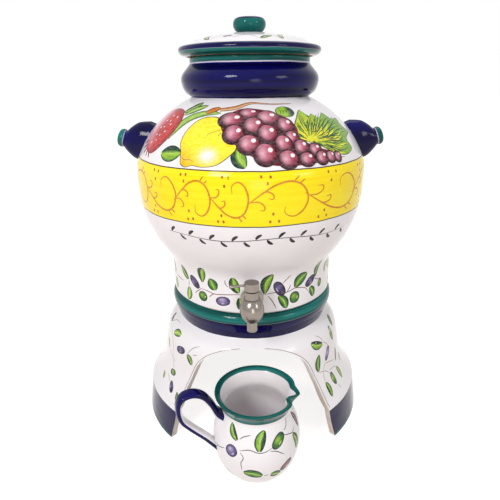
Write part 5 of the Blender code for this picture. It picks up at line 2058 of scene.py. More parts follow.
@dataclass
class Jar:
    """The globe with its foot, neck and mouth, and the two lugs on its shoulder."""

    sides: int = 224
    step: float = 3.0
    soft: float = 1.0
    base: float = 150.0
    spigot: float = 95.0
    seat: float = 174.2
    foot_edge: float = 3.0
    foot_top: Point = (102.5, 212.0)
    widest: Point = (137.1, 311.0)
    band_top: Point = (136.4, 339.0)
    neck: Point = (68.3, 410.0)
    bulge_widest: Point = (79.5, 429.5)
    rim_foot: Point = (69.0, 445.0)
    rim_top: float = 452.0
    rim_edge: float = 1.8
    mouth: float = 61.0
    wall: float = 7.5
    recess_inset: float = 11.0
    recess_depth: float = 3.0
    floor: float = 161.0
    lower_shares: tuple[Point, ...] = (
        (0.03, 0.07), (0.11, 0.14), (0.385, 0.285), (0.61, 0.425), (0.78, 0.566), (0.91, 0.717),
    )
    shoulder_shares: tuple[Point, ...] = (
        (0.05, 0.113), (0.162, 0.31), (0.305, 0.507), (0.508, 0.704), (0.74, 0.87),
    )
    swell_shares: tuple[Point, ...] = ((0.45, 0.15), (0.75, 0.36), (0.95, 0.68))
    fall_shares: tuple[Point, ...] = ((0.15, 0.3), (0.43, 0.55), (0.78, 0.82))
    rim_shares: tuple[Point, ...] = ((0.3, 0.7),)
    yellow: Point = (290.4, 345.4)
    line_out: float = 0.6
    line_in: float = 0.5
    neck_line: float = 409.5
    # Width of the pale line at the rim's foot, a painted highlight.
    rim_highlight_line: float = 1.0
    tap_hole: float = 9.0
    tap_drill: Point = (80.0, 110.0)
    drill_sides: int = 48
    garland_turns: tuple[float, ...] = (0.0, 180.0)
    left_turns: tuple[float, ...] = (0.0, 120.0, 180.0, -60.0)
    right_turns: tuple[float, ...] = (0.0, 180.0)
    join_turns: tuple[float, ...] = (120.0, 180.0, -60.0)
    lug_reach: float = 22.9
    lug_height: float = 50.0
    lug_width: float = 34.0
    lug_rise: float = 20.5
    lug_tilt: float = 17.0
    lug_rows: int = 96
    lug_sides: int = 72
    lug_step_share: float = 0.02
    lug_cap_shares: tuple[float, ...] = (0.2, 0.5, 0.8)
    lug_depths: tuple[float, float] = (6.5, 3.0)
    lug_line_shares: tuple[float, float] = (0.795, 0.815)
    lug_shares: tuple[tuple[float, ...], ...] = (
        (-0.79, -0.1, 1.0, 1.0, 0.0), (-0.3, -0.05, 0.94, 0.92, 0.0), (0.08, 0.0, 0.84, 0.8, 0.47),
        (0.41, 0.1, 0.61, 0.7, 0.82), (0.6, 0.14, 0.43, 0.61, 1.0),
        (0.65, 0.155, 0.405, 0.585, 1.0), (0.7, 0.17, 0.435, 0.63, 1.0),
        (0.84, 0.21, 0.43, 0.62, 1.0), (0.94, 0.24, 0.36, 0.52, 1.0), (1.0, 0.255, 0.24, 0.34, 1.0),
    )

    def belly(self) -> tuple[Point, ...]:
        """The globe's outside, from the foot's lower corner up to the neck.

        Returns:
            Radius and height pairs, in millimetres.
        """
        corner = (self.foot_top[0], self.seat + self.foot_edge)
        return (
            corner, *by_shares(corner, self.foot_top, ((0.5, 0.5),)), self.foot_top,
            *by_shares(self.foot_top, self.widest, self.lower_shares), self.widest, self.band_top,
            *by_shares(self.band_top, self.neck, self.shoulder_shares), self.neck,
        )

    def bulge(self) -> tuple[Point, ...]:
        """The swelling round the neck, up to the rim's foot.

        Returns:
            Radius and height pairs, in millimetres.
        """
        return (
            self.neck, *by_shares(self.neck, self.bulge_widest, self.swell_shares),
            self.bulge_widest, *by_shares(self.bulge_widest, self.rim_foot, self.fall_shares),
            self.rim_foot,
        )

    def inside(self) -> tuple[Point, ...]:
        """The inside from the mouth down to the step above the spigot.

        Returns:
            Radius and height pairs, in millimetres.
        """
        lower = by_shares(self.foot_top, self.widest, self.lower_shares)[1::2]
        upper = by_shares(self.band_top, self.neck, self.shoulder_shares)[1::2]
        globe = inset([self.foot_top, *lower, self.widest, self.band_top, *upper], self.wall)
        bore = self.foot_top[0] - self.wall
        return ((self.mouth, self.neck[1]), *reversed(globe[1:]), (bore, self.foot_top[1]),
                (bore, self.seat + self.wall))

    def runs(self) -> list[Run]:
        """The outline from the middle of the underside, up the outside and down the inside.

        Returns:
            The runs, in order.
        """
        belly, bulge, inside = self.belly(), self.bulge(), self.inside()
        recess, hollow = self.spigot - self.recess_inset, self.base + self.recess_depth
        bore, edge = self.spigot - self.wall, self.foot_edge
        rim_side = (self.rim_foot[0], self.rim_top - self.rim_edge)
        brow = (self.rim_foot[0] - self.rim_edge, self.rim_top)
        inner_brow = (self.mouth + self.rim_edge, self.rim_top)
        return [
            *corners([(0.0, hollow), (recess - self.recess_depth, hollow), (recess, self.base),
                      (self.spigot, self.base), (self.spigot, self.seat),
                      (belly[0][0] - edge, self.seat)], 2),
            Run(((belly[0][0] - edge, self.seat), belly[0])),
            Run(belly),
            Run(bulge),
            Run((bulge[-1], rim_side)),
            Run((rim_side, *by_shares(rim_side, brow, self.rim_shares), brow)),
            *corners([brow, inner_brow, (self.mouth, rim_side[1]), inside[0]], 1),
            Run(inside, 1),
            *corners([inside[-1], (bore, self.seat), (bore, self.floor + edge),
                      (bore - edge, self.floor), (0.0, self.floor)], 1),
        ]

    def wall_outside(self) -> Wall:
        """The globe and its foot, below the neck."""
        return Wall((0.0, AXIS_Y), [Run(self.belly())], self.step)

    def lug_rings(self, side: int) -> list[list[Vector]]:
        """Rings of one lug, from inside the wall to the button's end.

        Args:
            side: 1 for the right lug and -1 for the left one.

        Returns:
            Rings of equal counts of points, in metres.
        """
        start, level = self.widest[0], self.band_top[1]
        rows = np.array(self.lug_shares)
        keys = np.concatenate([[0.0], np.cumsum(np.abs(np.diff(rows[:, 0])))])
        wanted = np.linspace(0, keys[-1], self.lug_rows)
        columns = []
        for column in range(1, 5):
            line = smooth_run(list(zip(keys, rows[:, column])), self.lug_step_share)
            columns.append(np.interp(wanted, [p[0] for p in line], [p[1] for p in line]))
        rings = []
        for along, rise, height, width, tilt in zip(wanted + rows[0, 0], *columns):
            angle = math.radians(self.lug_tilt) * tilt
            centre = Vector((side * (start + self.lug_reach * along), AXIS_Y,
                             level + self.lug_rise * (1 + rise)))
            upward = Vector((-side * math.sin(angle), 0, math.cos(angle)))
            rings.append([
                (centre + Vector((0, 1, 0)) * math.cos(t) * self.lug_width * width / 2
                 + upward * math.sin(t) * self.lug_height * height / 2) * MM
                for t in np.linspace(0, math.tau, self.lug_sides, endpoint=False)
            ])
        depths = np.maximum(self.lug_depths[1], np.linspace(*self.lug_depths, self.lug_rows // 2))
        depths = [*depths, *[self.lug_depths[1]] * (self.lug_rows - len(depths))]
        wall = self.wall_outside()
        bedded = [[self.bedded(wall, point, side, depth) for point in ring]
                  for ring, depth in zip(rings, depths)]
        centre = sum(rings[0], Vector()) / len(rings[0])
        caps = [[self.bedded(wall, centre.lerp(point, share), side, self.lug_depths[0], True)
                 for point in rings[0]] for share in self.lug_cap_shares]
        return caps + bedded

    def bedded(
        self, wall: Wall, point: Vector, side: int, depth: float, always: bool = False,
    ) -> Vector:
        """Keeps a lug's point from reaching deeper into the wall than it should.

        Args:
            wall: The jar's outside.
            point: The point, in metres.
            side: 1 for the right lug and -1 for the left one.
            depth: How deep in the wall it may lie, in millimetres.
            always: Whether it is drawn in to that depth where it is outside.

        Returns:
            The point, moved along X if need be.
        """
        across = point.y - AXIS_Y * MM
        radius = float(np.interp(point.z / MM, wall.heights, wall.radii)) * MM
        reach = math.sqrt(radius ** 2 - across ** 2) - depth * MM
        if abs(point.x) > reach and not always:
            return point
        return Vector((side * reach, point.y, point.z))

    def build(self, effects: Effects) -> None:
        """Builds the jar, the hole for its tap, and its lugs.

        Args:
            effects: The groups that the finishes share.
        """
        (low, high), rim = self.yellow, self.rim_foot[1]
        outer = BandedGlaze("jar_glaze", Pigment.TIN_WHITE, Pigment.INNER_WHITE, (
            Band(low, high, Pigment.LEMON, Pigment.SUN, 0.8),
            Band(low - self.line_out, low + self.line_in, Pigment.INK, Pigment.BARK, soft=0.3),
            Band(high - self.line_in, high + self.line_out, Pigment.INK, Pigment.BARK, soft=0.3),
            Band(self.neck_line, rim, Pigment.NAVY, Pigment.COBALT, 0.6),
            # The pale lilac and white line at the rim's foot is a painted highlight.
            Band(rim, rim + self.rim_highlight_line, Pigment.LILAC, Pigment.TIN_WHITE),
            Band(rim + self.rim_highlight_line, NO_END, Pigment.TEAL, Pigment.SEA, 0.5),
        ))
        finishes = [
            outer.build(effects),
            BandedGlaze("jar_inside", Pigment.INNER_WHITE, Pigment.CREAM).build(effects),
            BareClay("jar_base_clay").build(effects),
        ]
        lug_finishes = [
            BandedGlaze("lug_cobalt", Pigment.NAVY, Pigment.COBALT, (), 0.7).build(effects),
            BandedGlaze("lug_line", Pigment.LILAC, Pigment.AZURE).build(effects),
            BandedGlaze("lug_button", Pigment.TEAL, Pigment.SEA, (), 0.5).build(effects),
        ]
        outline = joined_outline(self.runs(), self.step, self.soft)
        jar = turned("jar_body", outline, self.sides, finishes, MAIN_AXIS)
        face_outward(jar)
        start, end = self.tap_drill
        bore = ([(0.0, start), (self.tap_hole, start), (self.tap_hole, end), (0.0, end)], [0] * 3)
        place = (MAIN_AXIS @ Matrix.Translation((0, 0, TAP_HEIGHT * MM))
                 @ Matrix.Rotation(math.pi / 2, 4, "X"))
        drill = turned("tap_hole_cutter", bore, self.drill_sides, [finishes[1]], place)
        face_outward(drill)
        carve(jar, drill)
        settle(jar, Body.JAR, Slot.WHITE, "jar")
        for side, name in ((1, "lug_right"), (-1, "lug_left")):
            lug = lofted(name + "_horn", self.lug_rings(side), lug_finishes, self.lug_skin)
            settle(lug, Body.JAR, Slot.COBALT, name)

    def lug_skin(self, row: int, column: int) -> int:
        """Cobalt up to the neck line, then the line, then the button.

        Args:
            row: Which ring the face starts from.
            column: Which way round the ring it lies.

        Returns:
            The number of its finish.
        """
        share = (row - len(self.lug_cap_shares)) / self.lug_rows
        line, button = self.lug_line_shares
        return 0 if share < line else 1 if share < button else 2

    def decorate(self, marks: bpy.types.Material) -> None:
        """Paints the garland, the scroll, the spray and the sprigs round the foot.

        Args:
            marks: The finish of the painted marks.
        """
        wall = self.wall_outside()
        fruit, foliage = Painting(wall, seed=21), Painting(wall, seed=22)
        for turn in self.garland_turns:
            Garland().paint(fruit, foliage, turn)
        foliage.piece("jar_shoulder_leaves", marks, Body.JAR)
        fruit.piece("jar_shoulder_fruit", marks, Body.JAR)
        scroll, spray = Painting(wall, seed=23), Painting(wall, seed=24)
        sprigs = Painting(wall, seed=25)
        Scroll().paint(scroll)
        scroll.piece("jar_band_scroll", marks, Body.JAR)
        Tendril().paint(spray)
        spray.piece("jar_tendril", marks, Body.JAR)
        FOOT_LEFT.paint(sprigs, self.left_turns)
        FOOT_RIGHT.paint(sprigs, self.right_turns)
        # The front has no join, because the tap's hole is there.
        FOOT_JOIN.paint(sprigs, self.join_turns)
        sprigs.piece("jar_foot_sprigs", marks, Body.JAR)


@dataclass
class Lid:
    """The lid with its rolled flange, low dome, ring and knob."""

    sides: int = 192
    step: float = 2.0
    soft: float = 0.7
    seat: float = 452.3
    flange_root: float = 72.2
    flange_top: Point = (81.2, 463.1)
    dome_top: Point = (13.0, 477.0)
    crown: float = 0.3
    flange_line: float = 457.6
    flange_band: float = 463.4
    wall: float = 6.5
    ring: tuple[float, float, float] = (54.5, 59.5, 442.8)
    ring_edge: float = 1.5
    sprig_turns: tuple[float, ...] = (0.0, 120.0, 240.0)
    flange_shares: tuple[Point, ...] = (
        (0.0, 0.0), (0.45, 0.08), (0.8, 0.28), (1.0, 0.58), (0.93, 0.82), (0.62, 0.98),
        (0.1, 1.04),
    )
    dome_shares: tuple[Point, ...] = ((0.2, 0.42), (0.45, 0.7), (0.75, 0.92))
    under_shares: tuple[Point, ...] = ((0.15, 0.3), (0.5, 0.72))
    knob_radius: float = 18.5
    knob_height: float = 15.5
    knob_brow: float = 11.2
    knob_ring: Point = (7.0, 0.8)
    knob_dish: float = 1.2
    knob_band: float = 490.5
    knob_step: float = 1.2
    knob_soft: float = 0.6
    knob_sides: int = 96
    knob_shares: tuple[Point, ...] = (
        (0.0, 0.0), (0.55, 0.14), (0.92, 0.36), (1.0, 0.55), (0.9, 0.76), (0.55, 0.93),
        (0.1, 1.0),
    )

    def flange(self) -> tuple[Point, ...]:
        """The rolled flange, from its underside over its edge to the dome's foot."""
        return tuple(by_shares((self.flange_root, self.seat), self.flange_top,
                               self.flange_shares))

    def dome(self) -> tuple[Point, ...]:
        """The top, from the flange up to the middle under the knob.

        Returns:
            Radius and height pairs, in millimetres.
        """
        foot = self.flange()[-1]
        return (foot, *by_shares(foot, self.dome_top, self.dome_shares), self.dome_top,
                (0.0, self.dome_top[1] + self.crown))

    def under(self) -> tuple[Point, ...]:
        """The inside, from its middle down to the top of the ring's bore.

        Returns:
            Radius and height pairs, in millimetres.
        """
        edge = (self.ring[0], self.flange_top[1] - self.ring_edge)
        top = (self.dome_top[0], self.dome_top[1] - self.wall)
        return ((0.0, top[1]), top, *reversed(by_shares(edge, top, self.under_shares)), edge)

    def runs(self) -> list[Run]:
        """The outline from the middle of the inside, down round the ring and over the top.

        Returns:
            The runs, in order.
        """
        bore, ring, bottom = self.ring
        edge, under, flange = self.ring_edge, self.under(), self.flange()
        return [
            Run(under, 1),
            Run((under[-1], (bore, bottom)), 1),
            Run(((bore, bottom), (ring - edge, bottom)), 2),
            *corners([(ring - edge, bottom), (ring, bottom + edge), (ring, self.seat)], 1),
            Run(((ring, self.seat), flange[0]), 2),
            Run(flange),
            Run(self.dome()),
        ]

    def build(self, effects: Effects) -> None:
        """Builds the lid with its painted top, and its knob.

        Args:
            effects: The groups that the finishes share.
        """
        outer = BandedGlaze("lid_glaze", Pigment.TIN_WHITE, Pigment.INNER_WHITE, (
            Band(-NO_END, self.flange_line, Pigment.TEAL, Pigment.SEA, 0.5),
            Band(self.flange_line, self.flange_band, Pigment.NAVY, Pigment.COBALT, 0.6),
        ))
        finishes = [
            outer.build(effects),
            BandedGlaze("lid_inside", Pigment.INNER_WHITE, Pigment.CREAM).build(effects),
            BareClay("lid_rim_clay").build(effects),
        ]
        knob_finish = BandedGlaze("knob_glaze", Pigment.TEAL, Pigment.SEA, (
            Band(self.knob_band, NO_END, Pigment.NAVY, Pigment.COBALT),), 0.5).build(effects)
        outline = joined_outline(self.runs(), self.step, self.soft)
        lid = turned("lid_body", outline, self.sides, finishes, MAIN_AXIS)
        face_outward(lid)
        settle(lid, Body.LID, Slot.WHITE, "lid")
        base = self.dome_top[1] + self.crown
        top = base + self.knob_height
        ring, drop = self.knob_ring
        side = tuple(by_shares((self.dome_top[0], base), (self.knob_radius, top),
                               self.knob_shares))
        runs = [
            Run(((0.0, base), side[0])),
            Run(side),
            Run((side[-1], (self.knob_brow, top), (ring, top - drop), (0.0, top - self.knob_dish))),
        ]
        outline = joined_outline(runs, self.knob_step, self.knob_soft)
        knob = turned("knob_body", outline, self.knob_sides, [knob_finish], MAIN_AXIS)
        face_outward(knob)
        settle(knob, Body.LID, Slot.TEAL, "lid_knob")

    def decorate(self, marks: bpy.types.Material) -> None:
        """Paints the sprigs on the dome.

        Args:
            marks: The finish of the painted marks.
        """
        painting = Painting(Wall((0.0, AXIS_Y), [Run(self.dome())], self.step), seed=31)
        LID_SPRIG.paint(painting, self.sprig_turns)
        painting.piece("lid_sprigs", marks, Body.LID)


# Tap


@dataclass
class Tap:
    """The dispenser tap: barrel, nozzle, bonnet, shank and plate, and the turning cap.

    A pair is a radius with a height above the tap's axis, or with a length.
    """

    reach: float = 130.3
    sides: int = 64
    step: float = 0.8
    soft: float = 0.3
    touch: float = 0.3
    chamfer: float = 0.7
    barrel_radius: float = 13.3
    barrel_top: Point = (7.45, 12.3)
    barrel_end: Point = (6.05, -14.5)
    upper_shares: tuple[Point, ...] = ((0.12, 0.3), (0.33, 0.58), (0.62, 0.82), (0.85, 0.95))
    lower_shares: tuple[Point, ...] = ((0.06, 0.3), (0.24, 0.6), (0.5, 0.82), (0.74, 0.93))
    bore: float = 6.3
    outlet: float = 3.3
    socket: float = 4.9
    plug_half: float = 7.7
    stem: float = 2.9
    spigot: Point = (4.6, 3.5)
    nozzle_tip: float = 5.8
    nozzle_length: float = 11.7
    bonnet: Point = (7.55, 8.7)
    cap: Point = (7.85, 8.8)
    cap_gap: float = 1.2
    cap_roof: float = 2.5
    cap_soft: float = 0.55
    inlet: float = 3.2
    shank_start: float = 8.0
    shank_spigot: Point = (4.9, 4.0)
    shank_neck: Point = (6.5, 7.6)
    shank_collar: Point = (9.5, 2.5)
    shank_thread: Point = (8.0, 29.1)
    thread_bore: float = 5.0
    plate: Point = (13.0, 3.0)
    plate_dish: float = 1.4
    dish_shares: tuple[Point, ...] = ((0.6, 0.5),)
    lever_reach: float = 24.2
    lever_radius: float = 1.45
    lever_tip: float = 1.95
    lever_droop: float = 7.0
    lever_height: float = 27.8
    lever_spigot: Point = (1.1, 3.25)
    lever_step: float = 0.6
    lever_soft: float = 0.2
    lever_sides: int = 40
    lever_side_shares: tuple[Point, ...] = ((1.0, 0.0), (0.92, 0.3), (1.02, 0.62), (1.25, 0.84))
    lever_end_shares: tuple[Point, ...] = ((1.0, 0.0), (0.88, 0.5), (0.5, 0.88))
    upright_rings: Grain = Grain(60.0, 2600.0)
    lengthwise_rings: Grain = Grain(2200.0, 60.0)

    def barrel(self) -> list[Run]:
        """The barrel, from its lower end over its belly to its neck and down inside.

        Returns:
            The runs, in order.
        """
        middle, (_, end) = (self.barrel_radius, 0.0), self.barrel_end
        side = (
            self.barrel_end, *reversed(by_shares(middle, self.barrel_end, self.lower_shares)),
            middle, *by_shares(middle, self.barrel_top, self.upper_shares), self.barrel_top,
        )
        floor, roof = -self.plug_half - self.touch, end + self.spigot[1] + self.touch
        return [Run(side), *corners([
            self.barrel_top, (self.bore, self.barrel_top[1]), (self.bore, floor),
            (self.outlet, floor), (self.outlet, roof), (self.socket, roof), (self.socket, end)])]

    def nozzle(self) -> list[Run]:
        """The nozzle, from its tip up to the spigot in the barrel.

        Returns:
            The runs, in order.
        """
        (radius, end), (spigot, rise), tip = self.barrel_end, self.spigot, self.nozzle_tip
        top = end - self.touch
        low = top - self.nozzle_length
        return corners([
            (self.outlet, low), (tip - self.chamfer, low), (tip, low + self.chamfer),
            (radius, top), (spigot, top), (spigot, top + rise), (self.outlet, top + rise)])

    def bonnet_top(self) -> float:
        """The height of the bonnet's top above the tap's axis."""
        return self.barrel_top[1] + self.touch + self.bonnet[1]

    def bonnet_runs(self) -> list[Run]:
        """The bonnet, from its spigot over the plug to its top.

        Returns:
            The runs, in order.
        """
        stem, plug = self.stem + self.touch, self.plug_half + self.touch
        spigot, seat = self.bore - self.touch, self.barrel_top[1] + self.touch
        return corners([(stem, plug), (spigot, plug), (spigot, seat), (self.bonnet[0], seat),
                        (self.bonnet[0], self.bonnet_top()), (stem, self.bonnet_top())])

    def collar_end(self) -> float:
        """How far behind the tap's axis the shank's collar ends."""
        lengths = (part[1] for part in (self.shank_spigot, self.shank_neck, self.shank_collar))
        return self.shank_start + sum(lengths)

    def shank(self) -> list[Run]:
        """The shank, from the barrel's inlet over the collar to the thread's end and back.

        Returns:
            The runs, in order.
        """
        start = self.shank_start
        line = [(self.inlet, start)]
        for radius, length in (self.shank_spigot, self.shank_neck, self.shank_collar):
            line.extend([(radius, start), (radius, start + length)])
            start += length
        (radius, length), edge = self.shank_thread, self.chamfer
        end = start + length
        wide, narrow = start - self.shank_collar[1], self.shank_start + self.shank_spigot[1]
        return corners([*line, (radius, start), (radius, end - edge), (radius - edge, end),
                        (self.thread_bore, end), (self.thread_bore, wide), (self.inlet, narrow)])

    def plate_runs(self) -> list[Run]:
        """The dished face plate, from its hole over its edge to its flat back.

        Returns:
            The runs, in order.
        """
        (radius, thickness), hole = self.plate, self.shank_thread[0] + self.touch
        front = self.collar_end() + self.touch
        root, brow = (self.shank_collar[0], front), (radius, front + self.plate_dish)
        back = front + thickness
        return [
            Run(((hole, front), root)),
            Run((root, *by_shares(root, brow, self.dish_shares), brow)),
            *corners([brow, (radius, back), (hole, back)]),
        ]

    def cap_runs(self) -> list[Run]:
        """The cap, from the stem's socket round its skirt to its top.

        Returns:
            The runs, in order.
        """
        (radius, height), stem = self.cap, self.stem + self.touch
        low = self.bonnet_top() + self.cap_gap
        top = low + height
        roof = top - self.cap_roof
        return corners([(0.0, roof), (stem, roof), (stem, low), (radius, low), (radius, top),
                        (0.0, top)])

    def lever_runs(self) -> list[Run]:
        """The lever, from its spigot in the cap to its round end.

        Returns:
            The runs, in order.
        """
        (spigot, length), root = self.lever_spigot, self.cap[0] + self.touch
        start, end = root - length, self.lever_reach - self.lever_tip
        shaft = [(self.lever_radius * across, root + (end - root) * along)
                 for across, along in self.lever_side_shares]
        tip = [(self.lever_tip * across, end + self.lever_tip * along)
               for across, along in self.lever_end_shares]
        return [*corners([(0.0, start), (spigot, start), (spigot, root), shaft[0]]),
                Run((*shaft, *tip, (0.0, self.lever_reach)))]

    def upright(self) -> Matrix:
        """The tap's own axis, pointing up."""
        return Matrix.Translation((0, (AXIS_Y - self.reach) * MM, TAP_HEIGHT * MM))

    def backward(self) -> Matrix:
        """The shank's axis, pointing into the jar."""
        return self.upright() @ Matrix.Rotation(-math.pi / 2, 4, "X")

    def sideways(self) -> Matrix:
        """The lever's axis, pointing out of the cap's side and drooping.

        Returns:
            Where the axis stands and where it points.
        """
        droop = math.radians(self.lever_droop)
        rise = self.lever_height + self.cap[0] * math.sin(droop)
        return (self.upright() @ Matrix.Translation((0, 0, rise * MM))
                @ Matrix.Rotation(-math.pi / 2 - droop, 4, "Y"))

    def ring(
        self, name: str, runs: Sequence[Run], place: Matrix, finish: bpy.types.Material,
        body: Body = Body.JAR, soft: float | None = None,
    ) -> None:
        """Turns one piece of the tap about its axis and settles it in place of its node.

        Args:
            name: The node's name.
            runs: The piece's outline, whose end is joined to its beginning.
            place: Where the axis stands.
            finish: The piece's steel.
            body: The body that it rides on.
            soft: How far its corners are cut back, or None for the usual distance.
        """
        closed = [*runs, Run((runs[-1].points[-1], runs[0].points[0]))]
        outline = joined_outline(closed, self.step, soft or self.soft)
        piece = turned(name + "_turned", outline, self.sides, [finish], place, closed=True)
        face_outward(piece)
        settle(piece, body, Slot.STEEL, name)

    def build(self, effects: Effects) -> None:
        """Builds every piece of the tap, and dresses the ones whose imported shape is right.

        Args:
            effects: The groups that the finishes share.
        """
        up, back = self.upright(), self.backward()
        centre = tuple(up.translation)
        steel = TurnedSteel("tap_steel_upright", centre, self.upright_rings).build(effects)
        along = TurnedSteel("tap_steel_lengthwise", centre, self.lengthwise_rings).build(effects)
        rubber = Rubber().build(effects)
        dress(("valve_plug",), steel)
        dress(("steel_washer", "lock_nut"), along)
        dress(("outer_washer", "inner_washer", "lower_o_ring", "upper_o_ring", "cap_seal"), rubber)
        self.ring("tap_barrel", self.barrel(), up, steel)
        self.ring("tap_nozzle", self.nozzle(), up, steel)
        self.ring("tap_bonnet", self.bonnet_runs(), up, steel)
        self.ring("tap_shank", self.shank(), back, along)
        self.ring("tap_plate", self.plate_runs(), back, along)
        self.ring("tap_cap", self.cap_runs(), up, steel, Body.VALVE, self.cap_soft)
        outline = joined_outline(self.lever_runs(), self.lever_step, self.lever_soft)
        lever = turned("tap_lever_turned", outline, self.lever_sides, [along], self.sideways())
        face_outward(lever)
        settle(lever, Body.VALVE, Slot.STEEL, "tap_lever")


# Jug


@dataclass
class Jug:
    """The pouring jug with its pulled lip and strap handle."""

    axis: tuple[float, float] = (3.9, AXIS_Y - 146.8)
    sides: int = 192
    step: float = 1.8
    soft: float = 0.4
    height: float = 105.5
    base: float = 28.0
    belly: Point = (49.8, 46.0)
    neck: Point = (39.3, 88.0)
    rim: float = 46.5
    rim_edge: float = 1.1
    wall: float = 4.5
    recess_inset: float = 6.0
    recess_depth: float = 1.5
    lower_shares: tuple[Point, ...] = ((0.28, 0.12), (0.6, 0.32), (0.86, 0.6))
    upper_shares: tuple[Point, ...] = ((0.12, 0.36), (0.42, 0.62), (0.8, 0.85))
    flare_shares: tuple[Point, ...] = ((0.22, 0.4), (0.7, 0.78))
    edge_shares: tuple[Point, ...] = ((0.3, 0.7),)
    floor: float = 6.0
    lip_reach: float = 2.5
    lip_dip: float = 2.0
    near_pinch: float = 6.8
    far_pinch: float = 1.8
    lip_azimuth: float = -6.0
    lip_spread: float = 9.0
    pinch_offset: float = 15.0
    handle_reach: float = 40.7
    handle_width: float = 13.5
    handle_thickness: float = 6.6
    sprig_turns: tuple[float, ...] = (0.0, 176.0)
    handle_azimuth: float = 198.0
    handle_step: float = 1.6
    handle_sides: int = 40
    handle_roundness: float = 0.7
    white_columns: tuple[int, int] = (22, 38)
    outer_band: float = 91.0
    inner_band: float = 102.4
    handle_shares: tuple[tuple[float, float, float], ...] = (
        (-0.2, 0.76, 1.3), (0.0, 0.845, 1.25), (0.15, 0.965, 1.12), (0.36, 1.075, 1.0),
        (0.6, 1.118, 1.0), (0.84, 1.105, 1.0), (0.975, 1.045, 1.0), (1.0, 0.95, 1.0),
        (0.926, 0.83, 1.0), (0.742, 0.733, 1.0), (0.533, 0.642, 1.0), (0.337, 0.56, 1.03),
        (0.14, 0.465, 1.08), (0.0, 0.395, 1.12),
    )

    def outside(self) -> tuple[Point, ...]:
        """The outside from the base up to the rim's edge.

        Returns:
            Radius and height pairs, in millimetres.
        """
        base, rim = (self.base, 0.0), (self.rim, self.height - self.rim_edge)
        return (
            base, *by_shares(base, self.belly, self.lower_shares), self.belly,
            *by_shares(self.belly, self.neck, self.upper_shares), self.neck,
            *by_shares(self.neck, rim, self.flare_shares), rim,
        )

    def inside(self) -> tuple[Point, ...]:
        """The inside from the rim's edge down to the floor.

        Returns:
            Radius and height pairs, in millimetres.
        """
        inner = [point for point in inset(self.outside(), self.wall)[1:-1] if point[1] > self.floor]
        return ((self.rim - self.wall, self.height - self.rim_edge), *reversed(inner),
                (self.base - self.wall / 2, self.floor))

    def runs(self) -> list[Run]:
        """The outline from the middle of the underside to the rim and back down inside.

        Returns:
            The runs, in order.
        """
        outside, inside = self.outside(), self.inside()
        recess, depth = self.base - self.recess_inset, self.recess_depth
        brow = (self.rim - self.rim_edge, self.height)
        inner_brow = (self.rim - self.wall + self.rim_edge, self.height)
        return [
            *corners([(0.0, depth), (recess, depth), (recess + depth, 0.0), (self.base, 0.0)], 2),
            Run(outside),
            Run((outside[-1], *by_shares(outside[-1], brow, self.edge_shares), brow)),
            *corners([brow, inner_brow, inside[0]], 1),
            Run(inside, 1),
            Run((inside[-1], (0.0, self.floor)), 1),
        ]

    def pulled(self, points: np.ndarray) -> np.ndarray:
        """Draws the rim out into the lip, as the part's source does.

        Args:
            points: Points about the jug's own axis, in millimetres.

        Returns:
            The moved points.
        """
        moved = points.copy()
        neck_radius, neck_height = self.neck
        rise = np.clip((points[:, 2] - neck_height) / (self.height - neck_height), 0, 1)
        radius = np.hypot(points[:, 0], points[:, 1])
        rise[radius < neck_radius / 2] = 0
        turn = np.arctan2(points[:, 1], points[:, 0]) - math.radians(self.lip_azimuth)
        away = np.degrees(np.arctan2(np.sin(turn), np.cos(turn)))
        pull = np.exp(-(away / self.lip_spread) ** 2)
        pinch = np.exp(-((np.abs(away) - self.pinch_offset) / self.lip_spread) ** 2)
        depth = np.where(away < 0, self.near_pinch, self.far_pinch)
        change = rise * (self.lip_reach * pull - depth * pinch)
        scale = 1 + change / np.maximum(radius, 1e-3)
        moved[:, 0] *= scale
        moved[:, 1] *= scale
        moved[:, 2] -= rise * self.lip_dip * pull
        return moved

    def handle_rings(self) -> list[list[Vector]]:
        """Rings of the strap, from inside the neck over the top and back to the belly.

        Returns:
            Rings of equal counts of points, in metres.
        """
        turn = math.radians(self.handle_azimuth)
        outward = Vector((math.cos(turn), math.sin(turn), 0))
        across = Vector((-outward.y, outward.x, 0))
        rows = [(self.rim + self.handle_reach * reach, self.height * up)
                for reach, up, _ in self.handle_shares]
        line = np.array(smooth_run(rows, self.handle_step))
        marks = np.concatenate([[0], np.cumsum(np.hypot(*np.diff(line, axis=0).T))])
        knots = [marks[np.argmin(np.hypot(*(line - np.array(row)).T))] for row in rows]
        sizes = np.interp(marks, knots, [size for _, _, size in self.handle_shares])
        path = [outward * reach + Vector((0, 0, up)) for reach, up in line]
        rings = []
        for index, centre in enumerate(path):
            before, after = path[max(index - 1, 0)], path[min(index + 1, len(path) - 1)]
            inward = (after - before).normalized().cross(across)
            ring = []
            for t in np.linspace(0, math.tau, self.handle_sides, endpoint=False):
                aside = math.copysign(abs(math.cos(t)) ** self.handle_roundness, math.cos(t))
                above = math.copysign(abs(math.sin(t)) ** self.handle_roundness, math.sin(t))
                point = (centre + across * aside * self.handle_width * sizes[index] / 2
                         + inward * above * self.handle_thickness * sizes[index] / 2)
                ring.append((point + Vector((*self.axis, 0))) * MM)
            rings.append(ring)
        return rings

